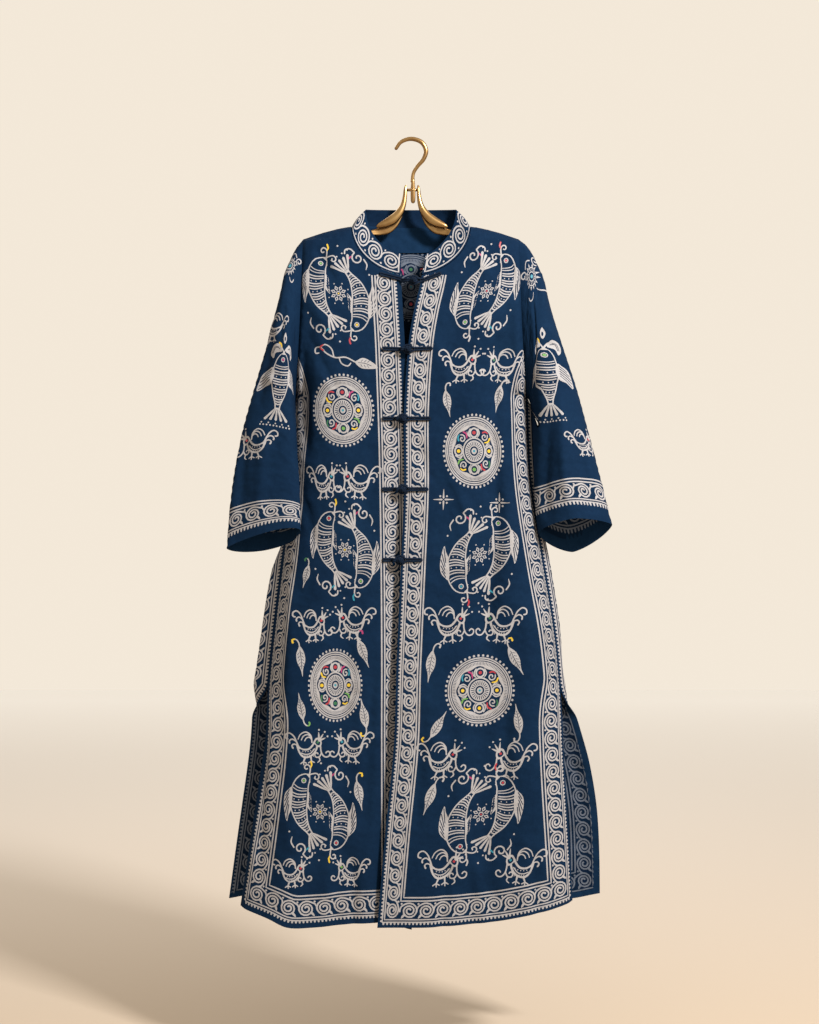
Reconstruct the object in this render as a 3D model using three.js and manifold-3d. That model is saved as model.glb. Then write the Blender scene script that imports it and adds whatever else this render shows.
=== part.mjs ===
// A long resist-dyed festival jacket with a stand collar, knotted frogs and side vents, hung on a brass hanger.
//
// Millimetres. +Z is up and the jacket faces -Y. The origin is the inner top of the hook, where it hangs.
// "drop" is the distance below that point. Left and right are the wearer's, so left is +X.
import * as THREE from "three";
import { mergeVertices } from "three/addons/utils/BufferGeometryUtils.js";
import Module from "manifold-3d";

const wasm = await Module();
wasm.setup();

// ---------------------------------------------------------------- driving dimensions

const CLOTH = 1.2; // one layer of handwoven cotton
const COLLAR_CLOTH = 2.4; // two layers and a stiffener
const SEAM_GAP = 0.4; // between pieces that a seam joins
const RIDGE_Y = -5; // the shoulder seams' plane
const SIDE_Y = -8; // the side seams' plane
const NECK = { halfWidth: 95, drop: 138, frontDepth: 83, backDepth: 3, backReach: 30 };
const COLUMNS = { frontNeck: 7, backNeck: 12, shoulder: [0.25, 0.45, 0.62, 0.76, 0.87, 0.94, 1] };
const ROWS = { body: 23, sleeve: 13 };
const ARMHOLE = { top: 158, bottom: 408, x: 172, underarmX: 183, scoop: 3, front: 36, back: 30 };
const VENT_TOP = 865; // the drop at which the side vents open
const CHEST_ROUND = { quick: 22, slow: 170 }; // how far below the shoulder the chest reaches its depth

const SHOULDER = [
  { x: 0, drop: 138 },
  { x: 95, drop: 138 },
  { x: 133, drop: 145.5 },
  { x: 172, drop: 158 },
];

// The free edges down the centre front. The left front lies over the right one.
const LEFT_OPENING = [
  { drop: 138, x: 24 },
  { drop: 221, x: 17 },
  { drop: 280, x: 4 },
  { drop: 330, x: -4 },
  { drop: 438, x: -11 },
  { drop: 560, x: -11 },
  { drop: 680, x: -16 },
  { drop: 840, x: -23 },
  { drop: 960, x: -27 },
  { drop: 1104, x: -41 },
  { drop: 1246, x: -53 },
];
const RIGHT_OPENING = [
  { drop: 138, x: -20 },
  { drop: 221, x: -16 },
  { drop: 324, x: -10 },
  { drop: 375, x: -8 },
  { drop: 500, x: -4 },
  { drop: 700, x: -1 },
  { drop: 900, x: 0 },
  { drop: 1246, x: 1 },
];

// The side edge of each front below the underarm, as a distance from the middle.
const LEFT_FRONT_SIDE = [
  { drop: 408, x: 184 },
  { drop: 540, x: 190 },
  { drop: 651, x: 207 },
  { drop: 777, x: 228 },
  { drop: 865, x: 237 },
  { drop: 987, x: 243 },
  { drop: 1133, x: 252 },
  { drop: 1246, x: 258 },
];
const RIGHT_FRONT_SIDE = [
  { drop: 408, x: 184 },
  { drop: 540, x: 192 },
  { drop: 648, x: 202 },
  { drop: 745, x: 214 },
  { drop: 865, x: 227 },
  { drop: 937, x: 231 },
  { drop: 1060, x: 247 },
  { drop: 1182, x: 265 },
  { drop: 1246, x: 275 },
];

// How far the back swings out past the side seam, and below the vent past the front's edge.
const LEFT_BACK_FLARE = [
  { drop: 408, out: 1 },
  { drop: 630, out: 3 },
  { drop: 675, out: 12 },
  { drop: 774, out: 11 },
  { drop: 865, out: 10 },
  { drop: 934, out: 29 },
  { drop: 1001, out: 44 },
  { drop: 1086, out: 51 },
  { drop: 1246, out: 46 },
];
const RIGHT_BACK_FLARE = [
  { drop: 408, out: 1 },
  { drop: 630, out: 4 },
  { drop: 690, out: 17 },
  { drop: 829, out: 23 },
  { drop: 894, out: 26 },
  { drop: 978, out: 24 },
  { drop: 1112, out: 24 },
  { drop: 1246, out: 22 },
];

const FRONT_DEPTH = [
  { drop: 138, y: -56 },
  { drop: 408, y: -59 },
  { drop: 700, y: -57 },
  { drop: 1246, y: -60 },
];
const BACK_DEPTH = [
  { drop: 138, y: 27 },
  { drop: 408, y: 30 },
  { drop: 900, y: 29 },
  { drop: 1246, y: 25 },
];

// Hems: "across" runs from the opening to the side on a front, and from right to left on the back.
const LEFT_HEM = [
  { across: 0, drop: 1246 },
  { across: 0.3, drop: 1244 },
  { across: 0.57, drop: 1237 },
  { across: 0.76, drop: 1225 },
  { across: 1, drop: 1209 },
];
const RIGHT_HEM = [
  { across: 0, drop: 1250 },
  { across: 0.2, drop: 1240 },
  { across: 0.55, drop: 1246 },
  { across: 0.68, drop: 1245 },
  { across: 0.8, drop: 1232 },
  { across: 1, drop: 1217 },
];
const BACK_HEM = [
  { across: 0, drop: 1214 },
  { across: 0.08, drop: 1210 },
  { across: 0.3, drop: 1224 },
  { across: 0.5, drop: 1229 },
  { across: 0.75, drop: 1225 },
  { across: 0.92, drop: 1217 },
  { across: 1, drop: 1206 },
];

// The largest folds. "at" and "to" are where each starts and ends across the piece, "swell" is along Y.
const LEFT_FOLDS = [
  { from: 230, until: 560, at: 0.86, to: 0.8, width: 0.07, swell: 7 },
  { from: 470, until: 1246, at: 0.58, to: 0.5, width: 0.09, swell: 6 },
  { from: 640, until: 1246, at: 0.8, to: 0.78, width: 0.1, swell: -7 },
  { from: 760, until: 1246, at: 0.2, to: 0.24, width: 0.11, swell: -4 },
];
const RIGHT_FOLDS = [
  { from: 240, until: 520, at: 0.9, to: 0.84, width: 0.07, swell: 6 },
  { from: 620, until: 1246, at: 0.45, to: 0.42, width: 0.1, swell: 6 },
  { from: 700, until: 1246, at: 0.75, to: 0.72, width: 0.1, swell: -8 },
  { from: 820, until: 1246, at: 0.13, to: 0.15, width: 0.08, swell: 4 },
];
const BACK_FOLDS = [
  { from: 330, until: 1228, at: 0.2, to: 0.17, width: 0.05, swell: 7 },
  { from: 520, until: 1228, at: 0.38, to: 0.34, width: 0.05, swell: -6 },
  { from: 420, until: 1228, at: 0.53, to: 0.52, width: 0.06, swell: 6 },
  { from: 560, until: 1228, at: 0.68, to: 0.71, width: 0.05, swell: -6 },
  { from: 330, until: 1228, at: 0.82, to: 0.85, width: 0.05, swell: 6 },
];

// Sleeve sections from the armhole to the cuff: the outer and inner edge, the edges' plane, the reach in
// front of and behind it, and how square (1) or round (2) the section is.
const LEFT_SLEEVE = [
  { outX: 172, outDrop: 158, inX: 183, inDrop: 408, mid: -5, fore: 36, aft: 30, round: 2 },
  { outX: 187, outDrop: 172, inX: 188, inDrop: 415, mid: -8, fore: 41, aft: 33, round: 2 },
  { outX: 203, outDrop: 203, inX: 191, inDrop: 426, mid: -11, fore: 43, aft: 34, round: 2 },
  { outX: 223, outDrop: 272, inX: 193, inDrop: 448, mid: -15, fore: 42, aft: 35, round: 1.9 },
  { outX: 243, outDrop: 335, inX: 193, inDrop: 476, mid: -18, fore: 40, aft: 36, round: 1.8 },
  { outX: 264, outDrop: 400, inX: 194, inDrop: 508, mid: -21, fore: 38, aft: 37, round: 1.7 },
  { outX: 284, outDrop: 475, inX: 195, inDrop: 545, mid: -24, fore: 37, aft: 38, round: 1.6 },
  { outX: 303, outDrop: 548, inX: 197, inDrop: 586, mid: -26, fore: 36, aft: 39, round: 1.5 },
  { outX: 319, outDrop: 614, inX: 201, inDrop: 626, mid: -28, fore: 36, aft: 40, round: 1.4 },
];
const RIGHT_SLEEVE = [
  { outX: 172, outDrop: 158, inX: 183, inDrop: 408, mid: -5, fore: 36, aft: 30, round: 2 },
  { outX: 185, outDrop: 176, inX: 184, inDrop: 414, mid: -12, fore: 42, aft: 32, round: 2 },
  { outX: 195, outDrop: 204, inX: 184, inDrop: 424, mid: -22, fore: 43, aft: 36, round: 2 },
  { outX: 210, outDrop: 262, inX: 182, inDrop: 443, mid: -38, fore: 38, aft: 40, round: 2 },
  { outX: 227, outDrop: 325, inX: 180, inDrop: 470, mid: -49, fore: 32, aft: 42, round: 2 },
  { outX: 246, outDrop: 395, inX: 179, inDrop: 505, mid: -55, fore: 28, aft: 42, round: 1.9 },
  { outX: 267, outDrop: 475, inX: 178, inDrop: 545, mid: -59, fore: 25, aft: 42, round: 1.9 },
  { outX: 281, outDrop: 555, inX: 178, inDrop: 588, mid: -62, fore: 24, aft: 41, round: 1.8 },
  { outX: 289, outDrop: 650, inX: 179, inDrop: 632, mid: -64, fore: 24, aft: 41, round: 1.8 },
];

// At the cuff, how far the front crease leans to the inner edge, and how much higher the front hem and lower
// the back hem hang. These fade out up the sleeve.
const LEFT_CUFF = { lean: 0.1, lift: 17, sag: 38, fade: 2 };
const RIGHT_CUFF = { lean: 0.6, lift: 16, sag: 14, fade: 2 };

// The collar's top edge, as a ring round the neck, and how much its front ends spread.
const COLLAR_TOP = { halfWidth: 72, drop: 110, frontDepth: 76, backRise: 4, middleY: -3, foreY: 32, aftY: 31 };
const COLLAR_BOW = { out: 2.5, inset: 0.5 };
const COLLAR_END_SPREAD = { left: 11, right: 3, reach: 0.35 };
const FACING = { drop: 176, sideDrop: 158, cloth: 0.8, gap: 0.9 };

// Frogs: the drop of the knot, how much higher each strap starts, and the X of the straps' starts and the knot.
const FROGS = [
  { drop: 229, rise: 10, rightX: -47, leftX: 45, knotX: 4 },
  { drop: 338, rise: 1, rightX: -43, leftX: 31, knotX: -5 },
  { drop: 447, rise: 0, rightX: -43, leftX: 28, knotX: -13 },
  { drop: 558, rise: 0, rightX: -43, leftX: 24, knotX: -13 },
  { drop: 669, rise: 0, rightX: -43, leftX: 15, knotX: -17 },
];
const FROG = { cord: 2.6, height: 6.4, knot: 5.4, shank: 1.25, play: 0.5, clear: 0.5 };

const WIRE = 3.6; // radius of the hanger's hook
const HOOK = [
  { x: -24, z: -12 },
  { x: -16, z: -1.5 },
  { x: 0, z: 3.6 },
  { x: 17, z: -2 },
  { x: 24, z: -15 },
  { x: 20.5, z: -28 },
  { x: 10, z: -41 },
  { x: 4, z: -51 },
  { x: 2, z: -66 },
];
const STEM = { x: 2, top: 62, bottom: 96, halfWidth: 5, halfDepth: 3.2, studDrop: 78, studRadius: 2.4 };
const HANGER_ARM = [
  { x: 8.8, drop: 67, y: 0, halfDepth: 3.6, halfThick: 2.2 },
  { x: 10.4, drop: 84, y: 0, halfDepth: 4.6, halfThick: 2.8 },
  { x: 15.5, drop: 100, y: -1, halfDepth: 6.5, halfThick: 3.6 },
  { x: 26, drop: 116, y: -2, halfDepth: 10, halfThick: 4.4 },
  { x: 42, drop: 130, y: -3, halfDepth: 12, halfThick: 4.6 },
  { x: 60, drop: 140.5, y: -3, halfDepth: 10.5, halfThick: 4.4 },
  { x: 80, drop: 148.5, y: -5, halfDepth: 9, halfThick: 4 },
  { x: 95, drop: 152, y: -5, halfDepth: 7.5, halfThick: 4 },
  { x: 130, drop: 158.5, y: -5, halfDepth: 9, halfThick: 4 },
  { x: 158, drop: 168, y: -5, halfDepth: 7, halfThick: 3.5 },
];

// ---------------------------------------------------------------- small mathematics

const clamp = (value, low, high) => Math.min(Math.max(value, low), high);
const lerp = (a, b, t) => a + (b - a) * t;
const bell = (q) => Math.exp(-q * q);
const ease = (q) => {
  const t = clamp(q, 0, 1);
  return t * t * (3 - 2 * t);
};

// Reads a table as a smooth function of its key, by cubic pieces that don't overshoot sharply.
function smooth(table, column, key = "drop") {
  const slope = (i) => {
    const low = table[Math.max(i - 1, 0)];
    const high = table[Math.min(i + 1, table.length - 1)];
    return (high[column] - low[column]) / (high[key] - low[key]);
  };
  return (at) => {
    let i = 0;
    while (i < table.length - 2 && at > table[i + 1][key]) i++;
    const a = table[i];
    const b = table[i + 1];
    const span = b[key] - a[key];
    const t = clamp((at - a[key]) / span, 0, 1);
    const bend = t * (1 - t) * span;
    return (
      lerp(a[column], b[column], t * t * (3 - 2 * t)) + bend * ((1 - t) * slope(i) - t * slope(i + 1))
    );
  };
}

// Reads a smooth open curve through points by the share of its length.
function evenly(points) {
  const count = 60;
  const curve = new THREE.CatmullRomCurve3(points, false, "centripetal");
  const places = curve.getPoints(count);
  const lengths = [0];
  for (let i = 1; i <= count; i++) lengths.push(lengths[i - 1] + places[i].distanceTo(places[i - 1]));
  return (share) => {
    const goal = share * lengths[count];
    let i = 1;
    while (i < count && lengths[i] < goal) i++;
    const t = (goal - lengths[i - 1]) / (lengths[i] - lengths[i - 1]);
    return places[i - 1].clone().lerp(places[i], t);
  };
}

// Keeps what a slow function of one number gives.
function kept(work) {
  const known = new Map();
  return (key) => {
    if (!known.has(key)) known.set(key, work(key));
    return known.get(key);
  };
}

// ---------------------------------------------------------------- solids from points

const steps = (count) => Array.from({ length: count + 1 }, (_, i) => i / count);

function geometryOf(points, triangles) {
  const geometry = new THREE.BufferGeometry();
  geometry.setAttribute("position", new THREE.Float32BufferAttribute(points.flatMap((p) => p.toArray()), 3));
  geometry.setIndex(triangles);
  return geometry;
}

// A cell is a point of a piece's outer face with the unit normal there. A grid of cells has rows and columns.
// At a seam, "seamAxis" names the axis across the seam, so that the normal there lies in the seam's plane.
function cell(at, normal, axis) {
  if (axis) normal[axis] = 0;
  return { at, out: normal.normalize() };
}

const noSeam = () => null;

// Cells of a grid of points, with normals from the neighbours. "way" is 1 or -1, so that they point outwards.
function cellsOf(grid, way, seamAxis = noSeam, closed = false) {
  const rows = grid.length;
  const columns = grid[0].length;
  return grid.map((row, j) =>
    row.map((point, i) => {
      const before = closed ? (i + columns - 1) % columns : Math.max(i - 1, 0);
      const after = closed ? (i + 1) % columns : Math.min(i + 1, columns - 1);
      const across = grid[j][after].clone().sub(grid[j][before]);
      const down = grid[Math.min(j + 1, rows - 1)][i].clone().sub(grid[Math.max(j - 1, 0)][i]);
      return cell(point, across.cross(down).multiplyScalar(way), seamAxis(j));
    }),
  );
}

// A wall between the cells moved by "from" and by "to" along their normals. A closed grid makes a tube.
function wall(cells, way, from, to, closed = false) {
  const rows = cells.length;
  const columns = cells[0].length;
  const moved = (by) => cells.flatMap((row) => row.map(({ at, out }) => at.clone().addScaledVector(out, by)));
  const points = [...moved(from), ...moved(to)];
  const inner = (j, i) => j * columns + (i % columns);
  const outer = (j, i) => rows * columns + inner(j, i);
  const triangles = [];
  const quad = (a, b, c, d) => triangles.push(...(way > 0 ? [a, b, c, a, c, d] : [a, c, b, a, d, c]));
  const spans = closed ? columns : columns - 1;
  for (let j = 0; j < rows - 1; j++) {
    for (let i = 0; i < spans; i++) {
      quad(outer(j, i), outer(j, i + 1), outer(j + 1, i + 1), outer(j + 1, i));
      quad(inner(j, i), inner(j + 1, i), inner(j + 1, i + 1), inner(j, i + 1));
    }
  }
  for (let i = 0; i < spans; i++) {
    quad(outer(0, i), inner(0, i), inner(0, i + 1), outer(0, i + 1));
    quad(outer(rows - 1, i), outer(rows - 1, i + 1), inner(rows - 1, i + 1), inner(rows - 1, i));
  }
  if (!closed) {
    for (let j = 0; j < rows - 1; j++) {
      quad(outer(j, 0), outer(j + 1, 0), inner(j + 1, 0), inner(j, 0));
      quad(outer(j, columns - 1), inner(j, columns - 1), inner(j + 1, columns - 1), outer(j + 1, columns - 1));
    }
  }
  return geometryOf(points, triangles);
}

// A solid through closed rings, with a flat cap at each end.
function loft(rings) {
  const count = rings[0].length;
  const points = rings.flat();
  const triangles = [];
  for (let j = 0; j < rings.length - 1; j++) {
    for (let i = 0; i < count; i++) {
      const next = (i + 1) % count;
      const [a, b] = [j * count + i, j * count + next];
      triangles.push(a, b, b + count, a, b + count, a + count);
    }
  }
  const last = (rings.length - 1) * count;
  for (let i = 1; i < count - 1; i++) {
    triangles.push(0, i + 1, i);
    triangles.push(last, last + i, last + i + 1);
  }
  return geometryOf(points, triangles);
}

function solidOf(geometry) {
  const bare = geometry.clone();
  bare.deleteAttribute("normal");
  bare.deleteAttribute("uv");
  const merged = mergeVertices(bare, 1e-4);
  return new wasm.Manifold(
    new wasm.Mesh({
      numProp: 3,
      vertProperties: new Float32Array(merged.attributes.position.array),
      triVerts: new Uint32Array(merged.index.array),
    }),
  );
}

function joined(...geometries) {
  const solid = geometries.map(solidOf).reduce((all, one) => all.add(one));
  const mesh = solid.getMesh();
  const geometry = new THREE.BufferGeometry();
  geometry.setAttribute("position", new THREE.Float32BufferAttribute(mesh.vertProperties, 3));
  geometry.setIndex(Array.from(mesh.triVerts));
  return geometry;
}

// ---------------------------------------------------------------- the body of the jacket

const shoulderDrop = smooth(SHOULDER, "drop", "x");
const frontDepth = smooth(FRONT_DEPTH, "y");
const backDepth = smooth(BACK_DEPTH, "y");

// How much of its full depth the cloth has, a distance below the shoulder.
function fullness(below) {
  const quick = 1 - clamp(below / CHEST_ROUND.quick, 0, 1);
  const slow = clamp(below / CHEST_ROUND.slow, 0, 1);
  return 0.5 * Math.sqrt(1 - quick * quick) + 0.5 * Math.sin((Math.PI / 2) * slow);
}

// The armhole seam at a drop: how far out it lies, and how far it stands from the shoulder plane.
function armhole(drop) {
  const middle = (ARMHOLE.top + ARMHOLE.bottom) / 2;
  const half = (ARMHOLE.bottom - ARMHOLE.top) / 2;
  const cosine = clamp((middle - drop) / half, -1, 1);
  const sine = Math.sqrt(1 - cosine * cosine);
  const x = lerp(ARMHOLE.x, ARMHOLE.underarmX, (1 - cosine) / 2) - ARMHOLE.scoop * sine * sine;
  const y = lerp(RIDGE_Y, SIDE_Y, (1 - cosine) / 2);
  return { x, y, reach: sine / Math.max(fullness(drop - ARMHOLE.top), 0.02) };
}

function foldSwell(folds, across, drop) {
  return folds.reduce((sum, fold) => {
    const part = (drop - fold.from) / (fold.until - fold.from);
    const centre = lerp(fold.at, fold.to, clamp(part, 0, 1));
    const open = fold.until > VENT_TOP ? 1 : ease((1 - part) / 0.3);
    return sum + fold.swell * ease(part / 0.3) * open * bell((across - centre) / fold.width);
  }, 0);
}

const flat = (x, y) => new THREE.Vector3(x, y, 0);

// Each side of the jacket: sign is 1 on the wearer's left.
const SIDES = {
  left: {
    sign: 1,
    opening: smooth(LEFT_OPENING, "x"),
    side: smooth(LEFT_FRONT_SIDE, "x"),
    flare: smooth(LEFT_BACK_FLARE, "out"),
    hem: smooth(LEFT_HEM, "drop", "across"),
    folds: LEFT_FOLDS,
    sleeve: LEFT_SLEEVE,
    cuff: LEFT_CUFF,
    tuck: 0,
  },
  right: {
    sign: -1,
    opening: smooth(RIGHT_OPENING, "x"),
    side: smooth(RIGHT_FRONT_SIDE, "x"),
    flare: smooth(RIGHT_BACK_FLARE, "out"),
    hem: smooth(RIGHT_HEM, "drop", "across"),
    folds: RIGHT_FOLDS,
    sleeve: RIGHT_SLEEVE,
    cuff: RIGHT_CUFF,
    tuck: 5,
  },
};

// The side edge of a front at a drop: the armhole seam above the underarm, the side seam or vent below it.
function frontEdge(side, drop) {
  if (drop >= ARMHOLE.bottom) return { x: side.side(drop), y: SIDE_Y - SEAM_GAP / 2 };
  const seam = armhole(drop);
  return { x: seam.x, y: seam.y - SEAM_GAP / 2 - ARMHOLE.front * seam.reach };
}

// A front's section at a drop, before it is drawn in towards the shoulder.
function frontSection(side, drop) {
  const edge = frontEdge(side, drop);
  const open = side.opening(drop) * side.sign;
  const depth = frontDepth(drop);
  const turn = Math.min(16, 0.45 * Math.abs(edge.y - depth));
  return evenly([
    flat(open, depth + side.tuck),
    flat(lerp(open, edge.x, 0.3), depth + side.tuck * 0.6),
    flat(lerp(open, edge.x, 0.62), depth + 1),
    flat(edge.x - 2.2 * turn, lerp(depth, edge.y, 0.2)),
    flat(edge.x - 0.5 * turn, lerp(depth, edge.y, 0.62)),
    flat(edge.x, edge.y),
  ]);
}

const frontSections = new Map(
  Object.values(SIDES).map((side) => [side, kept((drop) => frontSection(side, drop))]),
);

// A point of a front, from its opening (across 0) to its side (across 1).
function frontPoint(side, across, drop) {
  const place = frontSections.get(side)(drop)(across);
  const below = drop - shoulderDrop(Math.abs(place.x));
  const full = fullness(below);
  const swell = foldSwell(side.folds, across, drop) * full;
  const y = RIDGE_Y - SEAM_GAP / 2 + (place.y - RIDGE_Y + SEAM_GAP / 2) * full + swell;
  return new THREE.Vector3(place.x * side.sign, y, -drop);
}

// The neckline where it crosses a front: its drop at an X.
const neckDrop = (x) =>
  NECK.drop + NECK.frontDepth * Math.sqrt(Math.max(0, 1 - (x / NECK.halfWidth) ** 2));

// The top of the back at an X: its Y, which follows the neck ring between the shoulders.
const backTopY = (x) =>
  RIDGE_Y + NECK.backReach * Math.sqrt(Math.max(0, 1 - (x / NECK.halfWidth) ** 2));
const backTopDrop = (x) =>
  shoulderDrop(Math.abs(x)) + NECK.backDepth * Math.sqrt(Math.max(0, 1 - (x / NECK.halfWidth) ** 2));

// The back's section on one side at a drop, from its edge to the middle.
function backHalf(side, drop) {
  const depth = backDepth(drop);
  if (drop < ARMHOLE.bottom) {
    const seam = armhole(drop);
    const y = seam.y + SEAM_GAP / 2 + ARMHOLE.back * seam.reach;
    return [flat(seam.x, y), flat(seam.x - 6, lerp(y, depth, 0.35)), flat(seam.x - 26, lerp(y, depth, 0.85))];
  }
  const free = ease((drop - VENT_TOP) / 60);
  const seamX = side.side(drop);
  const out = side.flare(drop);
  const edgeX = seamX + out * free;
  const edgeY = lerp(SIDE_Y + SEAM_GAP / 2, 12, free);
  return [
    flat(edgeX, edgeY),
    flat(seamX + out - 9 * free, lerp(3, 15.5, free)),
    flat(seamX + out - lerp(12, 30, free), lerp(depth - 9, depth - 4, free)),
  ];
}

const backSection = kept((drop) => {
  const right = backHalf(SIDES.right, drop).map((p) => flat(-p.x, p.y));
  const left = backHalf(SIDES.left, drop).reverse();
  const depth = backDepth(drop);
  const middle = [0.55, 0, 0.55].map((share, i) => flat((i - 1) * share * left[0].x, depth));
  return evenly([...right, ...middle, ...left]);
});

// A point of the back, from the wearer's right edge (across 0) to the left one (across 1).
function backPoint(across, drop) {
  const place = backSection(drop)(across);
  const top = backTopY(place.x) + SEAM_GAP / 2;
  const full = fullness(drop - backTopDrop(place.x));
  const swell = foldSwell(BACK_FOLDS, across, drop) * full;
  return new THREE.Vector3(place.x, top + (place.y - top) * full + swell, -drop);
}

// Rows of drops from a top to a hem, closer together near the shoulder.
function rowDrop(top, hem, share) {
  const shoulder = 110;
  const turn = 0.3;
  return share < turn
    ? top + shoulder * (share / turn) ** 2.2
    : lerp(top + shoulder, hem, (share - turn) / (1 - turn));
}

// Solves for the share at which a rising function of the share passes a goal.
function solve(work, goal) {
  let [low, high] = [0, 1];
  for (let i = 0; i < 30; i++) {
    const middle = (low + high) / 2;
    if (work(middle) < goal) low = middle;
    else high = middle;
  }
  return (low + high) / 2;
}

const acrossAt = (side, x, drop) =>
  solve((across) => frontPoint(side, across, drop).x * side.sign, x * side.sign);
const backAcrossAt = (x, drop) => solve((across) => backPoint(across, drop).x, x);

// The cell of a body surface at a share across it and a drop, with its normal from close by.
function bodyCell(surface, way, across, drop, axis) {
  const [aside, below] = [0.004, 1];
  const right = surface(Math.min(across + aside, 1), drop).sub(surface(Math.max(across - aside, 0), drop));
  const down = surface(across, drop + below).sub(surface(across, drop - below));
  return cell(surface(across, drop), right.cross(down).multiplyScalar(way), axis);
}

// The axis across the body's seams: Y at the shoulders and below the arms, X at the armholes.
function bodySeam(top, share, drop) {
  const shoulder = Math.abs(top.x) > NECK.halfWidth - 1;
  if (share === 0) return shoulder ? "y" : null;
  if (Math.abs(top.x) < ARMHOLE.x - 1) return null;
  return drop < ARMHOLE.bottom ? "x" : "y";
}

// The columns of a front: along the neckline by equal angles, then along the shoulder.
function frontTops(side) {
  const start = side.opening(NECK.drop + NECK.frontDepth) * side.sign;
  const first = Math.asin(start / NECK.halfWidth);
  const neck = steps(COLUMNS.frontNeck).map((t) => NECK.halfWidth * Math.sin(lerp(first, Math.PI / 2, t)));
  const shoulder = COLUMNS.shoulder.map((t) => lerp(NECK.halfWidth, ARMHOLE.x, t));
  const tops = [...neck, ...shoulder].map((x) => {
    const drop = x < NECK.halfWidth ? neckDrop(x) : shoulderDrop(x);
    return { x, drop, across: acrossAt(side, x * side.sign, drop) };
  });
  tops[0].across = 0;
  tops[tops.length - 1].across = 1;
  return tops;
}

// The cells of a front or the back, down its columns. Below the neckline a column starts straight down.
function bodyCells(tops, hem, surface, way, straight) {
  return steps(ROWS.body).map((share) =>
    tops.map((top) => {
      const drop = rowDrop(top.drop, hem(top.across), share);
      const pull = 1 - ease((drop - top.drop) / 70);
      const inside = top.across > 0 && top.across < 1;
      const across = inside && pull > 0 ? lerp(top.across, straight(top.x, drop), pull) : top.across;
      return bodyCell(surface, way, across, drop, bodySeam(top, share, drop));
    }),
  );
}

function frontSolid(side) {
  const surface = (across, drop) => frontPoint(side, across, drop);
  const straight = (x, drop) => acrossAt(side, x * side.sign, drop);
  return wall(bodyCells(frontTops(side), side.hem, surface, -side.sign, straight), -side.sign, -CLOTH, 0);
}

const backSolid = () => wall(bodyCells(backTops(), backHem, backPoint, 1, backAcrossAt), 1, -CLOTH, 0);

const backHem = smooth(BACK_HEM, "drop", "across");

// The columns of the back: along one shoulder, the neck by equal angles and the other shoulder.
function backTops() {
  const shoulder = COLUMNS.shoulder.map((t) => lerp(NECK.halfWidth, ARMHOLE.x, t));
  const neck = steps(COLUMNS.backNeck).map((t) => NECK.halfWidth * Math.sin((t - 0.5) * Math.PI));
  const tops = [...shoulder.map((x) => -x).reverse(), ...neck, ...shoulder].map((x) => {
    const drop = backTopDrop(x);
    return { x, drop, across: backAcrossAt(x, drop) };
  });
  tops[0].across = 0;
  tops[tops.length - 1].across = 1;
  return tops;
}

// ---------------------------------------------------------------- sleeves

function sleevePoint(side, share, angle) {
  const rows = side.sleeve.map((row, i) => ({ ...row, at: i / (side.sleeve.length - 1) }));
  const read = (column) => smooth(rows, column, "at")(share);
  const power = 2 / read("round");
  const cosine = Math.sign(Math.cos(angle)) * Math.abs(Math.cos(angle)) ** power;
  const sine = Math.sign(Math.sin(angle)) * Math.abs(Math.sin(angle)) ** power;
  const fore = sine > 0;
  const lean = cosine - (fore ? side.cuff.lean * share : 0) * Math.abs(sine);
  const scoop = ARMHOLE.scoop * sine * sine * (1 - ease(share / 0.2));
  const x = lerp(read("inX"), read("outX"), (1 + lean) / 2) - scoop;
  const drop = lerp(read("inDrop"), read("outDrop"), (1 + lean) / 2);
  const y = read("mid") - sine * read(fore ? "fore" : "aft");
  const low = drop + Math.abs(sine) * (fore ? -side.cuff.lift : side.cuff.sag) * share ** side.cuff.fade;
  return new THREE.Vector3(x * side.sign, y, -low);
}

function sleeveSolid(side) {
  const around = 22;
  const grid = steps(ROWS.sleeve).map((share) =>
    steps(around)
      .slice(0, around)
      .map((turn) => sleevePoint(side, share, turn * 2 * Math.PI)),
  );
  const gap = new THREE.Vector3(side.sign * SEAM_GAP * 1.5, 0, 0);
  grid.forEach((row) => row.forEach((p) => p.add(gap)));
  return wall(cellsOf(grid, side.sign, (j) => (j === 0 ? "x" : null), true), side.sign, -CLOTH, 0, true);
}

// ---------------------------------------------------------------- collar and neck facing

// The neck seam at a turn: 0 is the centre front, half a turn the centre back.
function neckSeam(turn) {
  const x = NECK.halfWidth * Math.sin(turn);
  const cosine = Math.cos(turn);
  if (cosine < 0) return new THREE.Vector3(x, backTopY(x), -(NECK.drop - NECK.backDepth * cosine));
  const side = x > 0 ? SIDES.left : SIDES.right;
  const drop = NECK.drop + NECK.frontDepth * cosine;
  const y = frontPoint(side, acrossAt(side, x, drop), drop).y;
  return new THREE.Vector3(x, y, -drop);
}

function collarTop(turn, fromEnd) {
  const cosine = Math.cos(turn);
  const ends = Math.sin(turn) > 0 ? COLLAR_END_SPREAD.left : -COLLAR_END_SPREAD.right;
  const spread = ends * bell(fromEnd / COLLAR_END_SPREAD.reach);
  return new THREE.Vector3(
    COLLAR_TOP.halfWidth * Math.sin(turn) + spread,
    COLLAR_TOP.middleY - (cosine > 0 ? COLLAR_TOP.foreY : COLLAR_TOP.aftY) * cosine,
    -(COLLAR_TOP.drop + (cosine > 0 ? COLLAR_TOP.frontDepth : COLLAR_TOP.backRise) * cosine),
  );
}

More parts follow.
